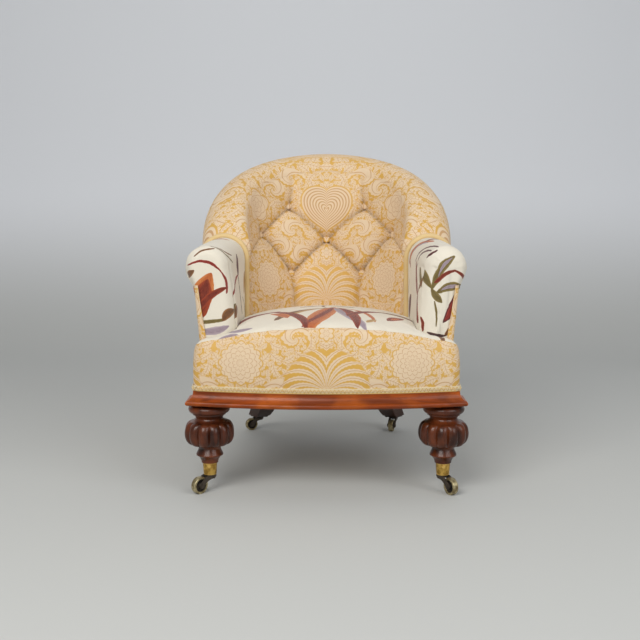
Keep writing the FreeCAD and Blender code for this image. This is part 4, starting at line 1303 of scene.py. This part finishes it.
def drawn_damask(f, x, y):
    """The figure, from 0 to 1, and its fine lines, for a place in millimetres. Later shapes lie on top."""
    across = calc("PINGPONG", x, column)
    level = calc("WRAP", y, row, -row)
    upper = calc("WRAP", y - row, row, -row)
    sprig_sizes = ((11.0, 263.0), (17.0, 731.0), (26.0, 400.0))
    curls = (
        (66.0, 62.0, 32.0, 1.0, 7.0), (118.0, 84.0, 30.0, -1.0, 8.0), (98.0, -58.0, 34.0, -1.0, 7.0),
        (74.0, -118.0, 30.0, 1.0, 8.0), (122.0, -150.0, 30.0, -1.0, 7.0), (84.0, 132.0, 30.0, 1.0, 7.0),
    )
    shapes = [sprigs(f, across, level, *given) for given in sprig_sizes]
    shapes += [curl(across, level, *given) for given in curls]
    shapes += [
        round_flower(across, level, 57.0, -38.0, 11.0, 7.0, 5.0, 6.0),
        round_flower(across, upper, column, 0.0, 30.0, 5.0, 12.0, 9.5),
        round_flower(across, level, column, 8.0, 40.0, 12.0, 7.0, 9.0),
        palm(across, level, -50.0),
        round_flower(across, level, 0.0, 74.0, 10.0, 6.0, 6.0, 8.0),
        line_heart(across, upper, -12.0, 54.0),
    ]
    figure, lines = 0.0, 0.0
    for shape, detail, cleared in shapes:
        kept = 1.0 - cleared
        figure = most(figure * kept, shape)
        lines = most(lines * kept, detail * shape)
    return figure, lines * figure


# %% The damask finish
damask = Finish("damask_cloth", roughness=0.55, Sheen_Weight=0.25, Sheen_Roughness=0.4)
map_x, map_y = damask.parts(damask.place("UV", scale=(1000, 1000, 1000)))[:2]
figure, lines = drawn_damask(damask, map_x, map_y - 130.0)
fade = damask.noise(damask.place(), 7.0)
slub = damask.noise(damask.place("UV", scale=(2600, 160, 1)), 1.0, 2.0)
ground = damask.tint(fade, shade(208, 158, 60), shade(222, 178, 90))
ground = damask.tint(span(slub, 0.3, 0.75, 0.0, 0.35), ground, shade(190, 140, 52))
raised = damask.tint(fade, shade(230, 202, 166), shade(238, 215, 184))
raised = damask.tint(span(slub, 0.35, 0.8, 0.0, 0.25), raised, shade(222, 186, 134))
cloth = damask.tint(figure, ground, raised)
cloth = damask.tint(lines * 0.78, cloth, shade(196, 144, 82))
# Near the pleats the cloth is darkened towards a deep brown: painted shade in the creases.
crease_shade = damask.tree.nodes.new("ShaderNodeAttribute")
crease_shade.attribute_name = "crease_shade"
cloth = damask.tint(damask.number(crease_shade.outputs["Fac"]) * 0.85, cloth, shade(112, 66, 20))
damask.colour(cloth)
weft = sine(map_y * (2 * math.pi / 0.9))
warp = sine(map_x * (2 * math.pi / 0.8))
damask.bump((weft + weft * warp) * 0.5, 0.0002, span(figure, 0.0, 1.0, 0.35, 0.9))
damask.rough(span(figure, 0.0, 1.0, 0.42, 0.66))
print("damask repeat:", 2 * column, "by", 2 * row, "mm")


# %% [markdown]
# ## Embroidered cloth
# The arms and the seat have a cream linen twill with wool stitched on it: long stems, buds and leaves,
# each shaded from a dark middle to a lighter edge. One stitched shape is a bent stroke. It has a start,
# an end, a bend and a width, and it is drawn by a group of nodes that is used again for every shape.

# %% One stitched shape as a node group


def stroke_group():
    group = bpy.data.node_groups.new("stitched_stroke", "ShaderNodeTree")
    face = group.interface
    face.new_socket("Place", in_out="INPUT", socket_type="NodeSocketVector")
    names = ("Start X", "Start Y", "Angle", "Length", "Bend", "Width", "Fullness", "Lean")
    for name in names:
        face.new_socket(name, in_out="INPUT", socket_type="NodeSocketFloat")
    for name in ("Inside", "Middle", "Thread"):
        face.new_socket(name, in_out="OUTPUT", socket_type="NodeSocketFloat")
    given = group.nodes.new("NodeGroupInput")
    result = group.nodes.new("NodeGroupOutput")
    start_x, start_y, angle, length, bend, width, fullness, lean = [
        Sum(group, given.outputs[name]) for name in names]
    split = group.nodes.new("ShaderNodeSeparateXYZ")
    feed(group, split.inputs[0], given.outputs["Place"])
    dx = Sum(group, split.outputs[0]) - start_x
    dy = Sum(group, split.outputs[1]) - start_y
    c, s = cosine(angle), sine(angle)
    along = dx * c + dy * s
    aside = dy * c - dx * s
    share = calc("DIVIDE", along, length, clamp=True)
    bent = aside - share * (1.0 - share) * 4.0 * bend
    leaned = power(share, lean)
    half = power(leaned * (1.0 - leaned) * 4.0, fullness) * width
    off = abs(bent)
    within = calc("DIVIDE", half - off, 0.6, clamp=True)
    ends = calc("GREATER_THAN", share, 0.0001) * calc("LESS_THAN", share, 0.9999)
    feed(group, result.inputs["Inside"], within * ends)
    feed(group, result.inputs["Middle"], calc("DIVIDE", off, half + 0.1, clamp=True))
    join = group.nodes.new("ShaderNodeCombineXYZ")
    feed(group, join.inputs[0], along * 0.09)
    feed(group, join.inputs[1], bent * 1.1)
    grain = group.nodes.new("ShaderNodeTexNoise")
    grain.inputs["Scale"].default_value = 1.0
    grain.inputs["Detail"].default_value = 2.0
    feed(group, grain.inputs["Vector"], join.outputs[0])
    feed(group, result.inputs["Thread"], grain.outputs["Fac"])
    return group


stitched = stroke_group()
wool = {
    "rust": ((104, 26, 8), (152, 56, 20)),
    "red": ((124, 28, 18), (158, 52, 34)),
    "orange": ((176, 84, 30), (200, 118, 58)),
    "maroon": ((62, 16, 20), (110, 38, 36)),
    "olive": ((100, 84, 38), (136, 116, 62)),
    "brown": ((98, 60, 30), (148, 98, 50)),
    "tan": ((170, 128, 72), (198, 162, 104)),
    "mauve": ((146, 128, 138), (176, 160, 168)),
    "dark": ((58, 34, 34), (96, 60, 52)),
}


def brighter(colour, by):
    return [min(255, value + by) for value in colour]


def embroidered(name, strokes):
    """Cream twill with stitched shapes: (x1, y1, x2, y2, bend, width, fullness, lean, wool) in mm."""
    f = Finish(name, roughness=0.8, Sheen_Weight=0.2, Sheen_Roughness=0.5)
    place = f.place("UV", scale=(1000, 1000, 1000))
    x, y = f.parts(place)[:2]
    wobble = f.noise(place, 0.06, 2.0)
    wander = f.vector(x + span(wobble, 0.2, 0.8, -0.9, 0.9), y + span(wobble, 0.2, 0.8, 0.9, -0.9))
    cloth = f.tint(f.noise(f.place(), 9.0), shade(222, 213, 194), shade(236, 229, 214))
    twill = sine((x + y) * (2 * math.pi / 1.5))
    cloth = f.tint(span(twill, 0.1, 1.0, 0.0, 0.16), cloth, shade(206, 194, 170))
    relief = 0.0
    for x1, y1, x2, y2, bend, width, fullness, lean, colour in strokes:
        node = f.tree.nodes.new("ShaderNodeGroup")
        node.node_tree = stitched
        feed(f.tree, node.inputs["Place"], wander)
        run = (math.atan2(y2 - y1, x2 - x1), math.hypot(x2 - x1, y2 - y1))
        for socket, value in zip(list(node.inputs)[1:], (x1, y1, *run, bend, width, fullness, lean)):
            socket.default_value = value
        inside, middle, thread = [f.number(socket) for socket in node.outputs]
        dark, light = wool[colour]
        thread_colour = f.tint(span(middle, 0.35, 0.95), shade(*dark), shade(*light))
        sheen = span(thread, 0.35, 0.7, 0.0, 0.35)
        cloth = f.tint(inside, cloth, f.tint(sheen, thread_colour, shade(*brighter(light, 26))))
        relief = most(inside, relief)
    f.colour(cloth)
    f.bump(f.noise(f.place("UV", scale=(520, 1900, 1), turn=(0, 0, 0.7)), 1.0, 2.0), 0.0006, relief)
    f.bump(twill, 0.0001, 0.7)
    print(name, "stitched shapes:", len(strokes))
    return f


# %% What is stitched on each piece
# Each shape: start, end, bend to the left, half width, fullness, lean, wool, all in millimetres.
# On the wrap of an arm the first value runs forward and the second goes up the inside and over the
# roll. On the front of an arm, 300 is added to the distance from the middle, and the second is height.
left_strokes = [
    (600, 496, 522, 480, -16, 3.2, 0.2, 1.0, "red"),
    (523, 482, 513, 434, -5, 2.8, 0.2, 1.0, "red"),
    (585, 515, 540, 532, -5, 2.2, 0.2, 1.0, "brown"),
    (252, 262, 205, 200, 10, 4, 0.25, 1.0, "olive"),
    (252, 272, 190, 215, 12, 3, 0.25, 1.0, "brown"),
    (586, 380, 546, 480, -3, 26, 0.75, 0.9, "orange"),
    (592, 376, 554, 466, 2, 24, 0.7, 0.8, "rust"),
    (592, 372, 512, 448, -13, 8, 0.45, 1.1, "rust"),
    (604, 466, 584, 486, -2, 7, 0.7, 1.0, "brown"),
    (598, 374, 512, 380, 3, 4.5, 0.3, 1.0, "olive"),
    (578, 354, 508, 364, 5, 9, 0.6, 1.0, "mauve"),
    (522, 376, 498, 400, -3, 10, 0.6, 1.2, "brown"),
    (252, 80, 205, 98, -6, 13, 0.6, 1.0, "brown"),
    (232, 112, 250, 90, 4, 5, 0.5, 1.0, "olive"),
    (134, 214, 150, 164, 2, 14, 0.6, 1.3, "maroon"),
    (150, 168, 100, 70, 8, 4, 0.2, 1.0, "dark"),
    (152, 166, 250, 128, 10, 4.5, 0.3, 1.0, "red"),
    (40, 166, 52, 112, 2, 13, 0.6, 1.0, "tan"),
    (40, 300, 190, 340, 22, 4, 0.3, 1.0, "rust"),
    (110, 318, 70, 250, -6, 15, 0.8, 0.9, "orange"),
    (110, 318, 74, 258, -5, 8, 0.8, 0.9, "rust"),
    (30, 60, 90, 110, 8, 2.2, 0.3, 1.0, "olive"),
]
right_strokes = [
    (526, 444, 502, 496, 4, 8, 0.6, 1.3, "olive"),
    (252, 150, 205, 190, -3, 10, 0.6, 1.2, "olive"),
    (524, 440, 576, 518, 10, 10, 0.55, 1.4, "olive"),
    (536, 470, 572, 514, 6, 3.4, 0.6, 1.2, "mauve"),
    (528, 434, 594, 450, 7, 10, 0.55, 1.4, "olive"),
    (542, 442, 590, 450, 4, 4, 0.6, 1.2, "mauve"),
    (522, 448, 548, 416, -4, 8, 0.7, 1.2, "olive"),
    (528, 458, 580, 486, 4, 4.6, 0.4, 1.0, "rust"),
    (574, 486, 606, 448, 7, 4, 0.35, 1.0, "rust"),
    (252, 176, 226, 136, 3, 5, 0.3, 1.0, "brown"),
    (146, 200, 222, 130, -8, 9, 0.35, 1.3, "rust"),
    (220, 136, 252, 70, -5, 9, 0.4, 1.0, "rust"),
    (502, 384, 506, 352, 2, 3, 0.3, 1.0, "rust"),
    (140, 196, 250, 254, 14, 4, 0.25, 1.0, "maroon"),
    (164, 184, 250, 236, 16, 3.4, 0.25, 1.0, "maroon"),
    (506, 500, 540, 530, 5, 2.2, 0.25, 1.0, "maroon"),
    (48, 184, 150, 262, 16, 11, 0.45, 1.0, "orange"),
    (70, 204, 140, 250, 10, 4.5, 0.5, 1.0, "mauve"),
    (110, 246, 24, 316, -8, 11, 0.5, 1.0, "rust"),
    (50, 200, 70, 176, 0, 5, 0.5, 1.0, "red"),
    (50, 58, 100, 116, 3, 20, 0.75, 0.9, "maroon"),
    (552, 372, 578, 434, -7, 10, 0.7, 1.0, "maroon"),
    (556, 376, 577, 428, -5, 6, 0.7, 1.0, "red"),
    (528, 420, 534, 364, 3, 2.6, 0.2, 1.0, "olive"),
    (556, 344, 574, 372, -3, 6, 0.6, 1.0, "brown"),
    (514, 352, 560, 344, -3, 4.5, 0.5, 1.0, "dark"),
    (40, 330, 200, 300, 20, 4, 0.3, 1.0, "olive"),
    (120, 314, 170, 352, 8, 13, 0.8, 1.0, "red"),
    (30, 90, 60, 150, 6, 2, 0.3, 1.0, "brown"),
]
seat_strokes = [
    (18, -84, -38, -326, 6, 25, 0.5, 1.3, "orange"),
    (14, -96, -52, -316, 16, 9, 0.5, 1.2, "rust"),
    (10, -110, -112, -262, -16, 15, 0.6, 1.3, "brown"),
    (4, -104, -88, -246, -10, 6, 0.5, 1.2, "tan"),
    (18, -110, 84, -318, -8, 15, 0.6, 1.3, "mauve"),
    (24, -96, 66, -316, 10, 13, 0.55, 1.3, "rust"),
    (30, -100, 104, -280, 18, 6, 0.5, 1.2, "orange"),
    (-204, -226, -104, -146, 20, 13, 0.3, 1.0, "rust"),
    (-120, -150, -42, -322, 16, 12, 0.4, 1.0, "rust"),
    (-126, -176, -84, -250, 8, 12, 0.7, 1.0, "orange"),
    (46, -240, 124, -146, 14, 12, 0.3, 1.0, "rust"),
    (114, -146, 196, -184, 10, 12, 0.3, 1.0, "brown"),
    (188, -178, 250, -300, 12, 9, 0.3, 1.0, "brown"),
    (132, -252, 172, -196, 4, 13, 0.7, 1.1, "rust"),
    (142, -238, 164, -206, 3, 6, 0.7, 1.1, "orange"),
    (86, -288, 108, -256, 2, 7, 0.6, 1.0, "tan"),
    (-214, -272, -158, -292, -6, 9, 0.6, 1.0, "mauve"),
    (-236, -300, -186, -306, 4, 8, 0.6, 1.0, "mauve"),
    (0, -90, 6, 40, 12, 4, 0.3, 1.0, "brown"),
    (6, 40, -90, 110, -20, 4, 0.3, 1.0, "rust"),
    (6, 20, 96, 84, 18, 4, 0.3, 1.0, "olive"),
    (-60, 96, -130, 20, -14, 16, 0.75, 1.0, "red"),
    (-70, 84, -122, 28, -10, 8, 0.75, 1.0, "orange"),
    (80, 80, 130, 0, 14, 15, 0.75, 1.0, "mauve"),
    (86, 70, 124, 10, 10, 7, 0.75, 1.0, "tan"),
    (10, -40, 70, -70, 8, 10, 0.75, 1.0, "olive"),
    (0, -20, -64, -60, -8, 11, 0.75, 1.0, "brown"),
    (-30, 66, 20, 128, 10, 12, 0.75, 1.0, "orange"),
]
left_cloth = embroidered("left_arm_cloth", left_strokes)
right_cloth = embroidered("right_arm_cloth", right_strokes)
seat_cloth = embroidered("seat_cloth", seat_strokes)

# %% [markdown]
# ## Plain cloths, braid and webbing
# The welts are a plain beige cloth, the gimp is two colours of silk cord, the straps are coarse jute
# with a stripe at each edge, and the hessian is an open brown weave.

# %% Welt, braid, webbing and hessian
welt_cloth = Finish("beige_welt_cloth", roughness=0.75, Sheen_Weight=0.2)
tone = welt_cloth.noise(welt_cloth.place(), 30.0)
welt_cloth.colour(welt_cloth.tint(tone, shade(216, 184, 124), shade(234, 206, 152)))
along = welt_cloth.parts(welt_cloth.place("UV"))[0]
welt_cloth.bump(sine(along * (2 * math.pi / 0.0012)), 0.00015, 0.7)

silk = Finish("gimp_silk", roughness=0.5, Sheen_Weight=0.3)
u, v = silk.parts(silk.place("UV"))[:2]
silk.colour(silk.tint(span(fract(v / 2.0), 0.45, 0.55), shade(236, 220, 184), shade(216, 178, 96)))
silk.bump(sine(u * (2 * math.pi / 0.0011) + v * (2 * math.pi)), 0.0002, 0.8)

jute = Finish("jute_webbing", roughness=0.9)
u, v = jute.parts(jute.place("UV"))[:2]
stripe = span(abs(abs(v) - 0.0165), 0.0008, 0.0014, 1.0, 0.0)
strand = sine(u * (2 * math.pi / 0.0022)) * sine(v * (2 * math.pi / 0.0018))
body = jute.tint(jute.noise(jute.place(), 60.0, 4.0), shade(150, 122, 82), shade(186, 158, 112))
jute.colour(jute.tint(stripe, body, shade(96, 52, 40)))
jute.bump(strand, 0.0004, 0.9)

sacking = Finish("hessian", roughness=0.95)
x, y, z = sacking.parts(sacking.place())
weave = sine((x + z) * (2 * math.pi / 0.0026)) * sine((y + z) * (2 * math.pi / 0.0026))
sacking.colour(sacking.tint(span(weave, -0.4, 0.6), shade(98, 74, 44), shade(160, 128, 82)))
sacking.bump(weave, 0.0005, 0.9)


# %% [markdown]
# ## Wood
# Polished mahogany shows long dark pores along the grain, broad bands of lighter and darker wood, and
# wax that has gone dark in the hollows. The moulding is the brightest, the turned legs are darker, and
# the back legs are nearly black. The grain runs along each piece, so each kind has its own direction.

# %% Wood finishes


def wood(name, dark, mid, light, grain, roughness, coat=0.0):
    f = Finish(name, roughness=roughness, Coat_Weight=coat, Coat_Roughness=0.12, Specular_IOR_Level=0.3)
    bands = f.noise(f.place(scale=grain), 3.0, 4.0, 0.55, 0.6)
    pores = f.noise(f.place(scale=[value * 9 for value in grain]), 3.0, 2.0, 0.6)
    patches = f.noise(f.place(), 14.0, 2.0)
    wooden = f.tint(span(bands, 0.34, 0.66), shade(*dark), shade(*mid))
    wooden = f.tint(span(patches, 0.42, 0.7, 0.0, 0.6), wooden, shade(*light))
    wooden = f.tint(span(pores, 0.56, 0.66, 0.0, 0.55), wooden, shade(*dark))
    standing = f.pointiness()
    wooden = f.tint(span(standing, 0.52, 0.60) * 0.45, wooden, shade(*light))
    waxed = shade(*[value * 0.35 for value in dark])
    wooden = f.tint(span(standing, 0.40, 0.48, 1.0, 0.0) * 0.75, wooden, waxed)
    f.colour(wooden)
    f.rough(span(pores, 0.4, 0.7, roughness, roughness + 0.14))
    f.bump(pores, 0.0002, 0.35)
    return f


upright = (20, 20, 2.2)
moulding_wood = wood("polished_moulding", (106, 41, 0), (150, 63, 2), (184, 90, 14), (1.2, 22, 22), 0.3, 0.06)
leg_wood = wood("turned_leg_wood", (44, 17, 6), (82, 36, 14), (126, 62, 28), upright, 0.28, 0.2)
back_leg_wood = wood("dark_back_leg_wood", (26, 15, 11), (44, 24, 17), (74, 40, 26), upright, 0.42, 0.1)
beech = wood("plain_beech", (146, 112, 72), (178, 144, 98), (196, 166, 120), (6, 6, 6), 0.7)


# %% [markdown]
# ## Brass and iron
# The cups and wheel treads are brass that has dulled to brown in its hollows and is rubbed bright on
# its edges. The forks, pins and plates are dark iron with a dusty bloom.

# %% Metal finishes


def metal(name, dull, bright, roughness, metallic=1.0):
    f = Finish(name, roughness=roughness, Metallic=metallic)
    bloom = f.noise(f.place(), 90.0, 4.0, 0.65)
    coat = f.tint(span(bloom, 0.38, 0.62), shade(*dull), shade(*bright))
    f.colour(f.tint(span(f.pointiness(), 0.52, 0.62) * 0.6, coat, shade(*brighter(bright, 30))))
    f.rough(span(bloom, 0.35, 0.65, roughness + 0.22, roughness))
    f.bump(bloom, 0.0002, 0.4)
    return f


brass = metal("old_brass", (168, 130, 62), (224, 184, 98), 0.3)
tread = metal("worn_wheel_tread", (132, 116, 82), (196, 182, 142), 0.34, 0.85)
iron = metal("dark_iron", (34, 30, 28), (70, 60, 50), 0.5, 0.7)
steel = metal("spring_wire", (96, 90, 84), (140, 134, 126), 0.4)


# %% [markdown]
# ## Giving each piece its finish
# A CAD node keeps its shape and only has its material changed. The wheels have a dark disc inside a
# bright tread, so their faces are shared out by how far they lie from the axle.

# %% Finishes on every piece


def dress(piece, finish):
    piece.data.materials.clear()
    piece.data.materials.append(finish.material)


for piece in (back, border, outside_back, outside_right, outside_left, back_buttons, *facings):
    dress(piece, damask)
dress(left_arm, left_cloth)
dress(right_arm, right_cloth)
dress(seat, seat_cloth)
for piece in welts:
    dress(piece, welt_cloth)
dress(front_gimp, silk)
dress(back_gimp, silk)
dress(webbing, jute)
for piece, slot_name in lining:
    dress(piece, jute if slot_name == "webbing" else sacking)

# The ends of the CAD names that take each finish.
finish_of = {
    tread: ("wheel",),
    moulding_wood: ("front_moulding",),
    leg_wood: ("front_leg",),
    back_leg_wood: ("back_leg",),
    beech: ("rail", "stump", "blocks"),
    brass: ("cup", "cup_screws"),
    steel: ("seat_springs",),
    iron: ("fork", "pin", "axle", "plate", "plate_screws"),
}
for name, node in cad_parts.items():
    for finish, endings in finish_of.items():
        if name.endswith(endings):
            dress(node, finish)
disc_share = 0.74   # of a wheel's radius
for name in ("left_front", "right_front", "left_rear", "right_rear"):
    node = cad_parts[name + "_wheel"]
    low, high = [Vector(corner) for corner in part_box(name + "_wheel")]
    middle = (low + high) / 2
    radius = (high.z - low.z) / 2
    node.data.materials.append(iron.material)
    for face in node.data.polygons:
        face.material_index = 1 if (face.center - middle).length < radius * disc_share else 0
print("finishes:", len(bpy.data.materials))


# %% [markdown]
# ## The room, the light and the camera
# The chair stands on a pale floor that sweeps up into a wall. The paper is darker on the floor and lighter up
# the wall, as painted light. A large soft lamp is above and in front, a weaker one fills from the other side,
# a third washes the top, and the world gives an even light. The camera stands straight in front, lower than
# the top of the back, and looks slightly down.

# %% Floor and wall
room_size = 9.0
front_edge = -4.0
flat_run = 5.5
sweep = 1.2   # radius of the bend from floor to wall
bpy.ops.object.select_all(action="DESELECT")
bpy.ops.mesh.primitive_grid_add(x_subdivisions=2, y_subdivisions=80, size=2, location=(0, 0, 0))
room = bpy.context.object
room.name = "floor_and_wall"
for vertex in room.data.vertices:
    run = (vertex.co.y + 1) / 2 * room_size
    x = vertex.co.x * room_size
    if run < flat_run:
        vertex.co = (x, front_edge + run, 0.0)
    else:
        angle = min((run - flat_run) / sweep, math.pi / 2)
        rest = max(run - flat_run - sweep * math.pi / 2, 0.0)
        y = front_edge + flat_run + sweep * math.sin(angle)
        vertex.co = (x, y, sweep * (1 - math.cos(angle)) + rest * 2.0)
only(room)
bpy.ops.object.shade_smooth()
paper = Finish("pale_studio_paper", roughness=0.9)
height = paper.parts(paper.place())[2]
# Darker on the floor and lighter up the wall: painted light, not a change in the paper itself.
paper.colour(paper.tint(span(height, 0.0, 0.7), shade(197, 198, 195), shade(243, 245, 249)))
dress(room, paper)

# %% Lamps and world


def lamp(name, place, aim, size, watts, colour):
    light = bpy.data.lights.new(name, "AREA")
    light.shape = "RECTANGLE"
    light.size, light.size_y = size
    light.energy = watts
    light.color = colour
    thing = bpy.data.objects.new(name, light)
    thing.location = place
    thing.rotation_mode = "QUATERNION"
    thing.rotation_quaternion = (Vector(aim) - Vector(place)).to_track_quat("-Z", "Y")
    bpy.context.scene.collection.objects.link(thing)


lamp("soft_key", (-1.1, -2.6, 2.3), (0, 0, 0.35), (2.2, 1.6), 70, (1.0, 0.985, 0.96))
lamp("soft_fill", (2.0, -2.1, 1.8), (0, 0, 0.35), (2.0, 1.8), 31, (0.97, 0.985, 1.0))
lamp("top_wash", (0.2, 0.2, 3.0), (0, 0.1, 0), (2.6, 2.2), 9, (1.0, 1.0, 1.0))
world = bpy.context.scene.world or bpy.data.worlds.new("world")
bpy.context.scene.world = world
world.use_nodes = True
world.node_tree.nodes["Background"].inputs[0].default_value = (0.86, 0.88, 0.9, 1.0)
world.node_tree.nodes["Background"].inputs[1].default_value = 0.31
bpy.context.scene.view_settings.view_transform = "Standard"

# %% Camera
focal_length = 54.0
sensor = 36.0
picture_pixels = 640
horizon_pixels = 120   # from the middle of the picture up to the horizon
ahead_pixels = 6.5     # from the middle aside to the point straight ahead
focal_pixels = focal_length / sensor * picture_pixels
pitch = math.atan(horizon_pixels / focal_pixels)
yaw = math.atan(ahead_pixels / focal_pixels)
looking = Vector((-math.sin(yaw) * math.cos(pitch), math.cos(yaw) * math.cos(pitch), -math.sin(pitch)))
camera_data = bpy.data.cameras.new("camera")
camera_data.sensor_width = sensor
camera_data.lens = focal_length
camera = bpy.data.objects.new("camera", camera_data)
camera.location = (0.0, -2.319, 0.634)
camera.rotation_mode = "QUATERNION"
camera.rotation_quaternion = looking.to_track_quat("-Z", "Y")
bpy.context.scene.collection.objects.link(camera)
bpy.context.scene.camera = camera
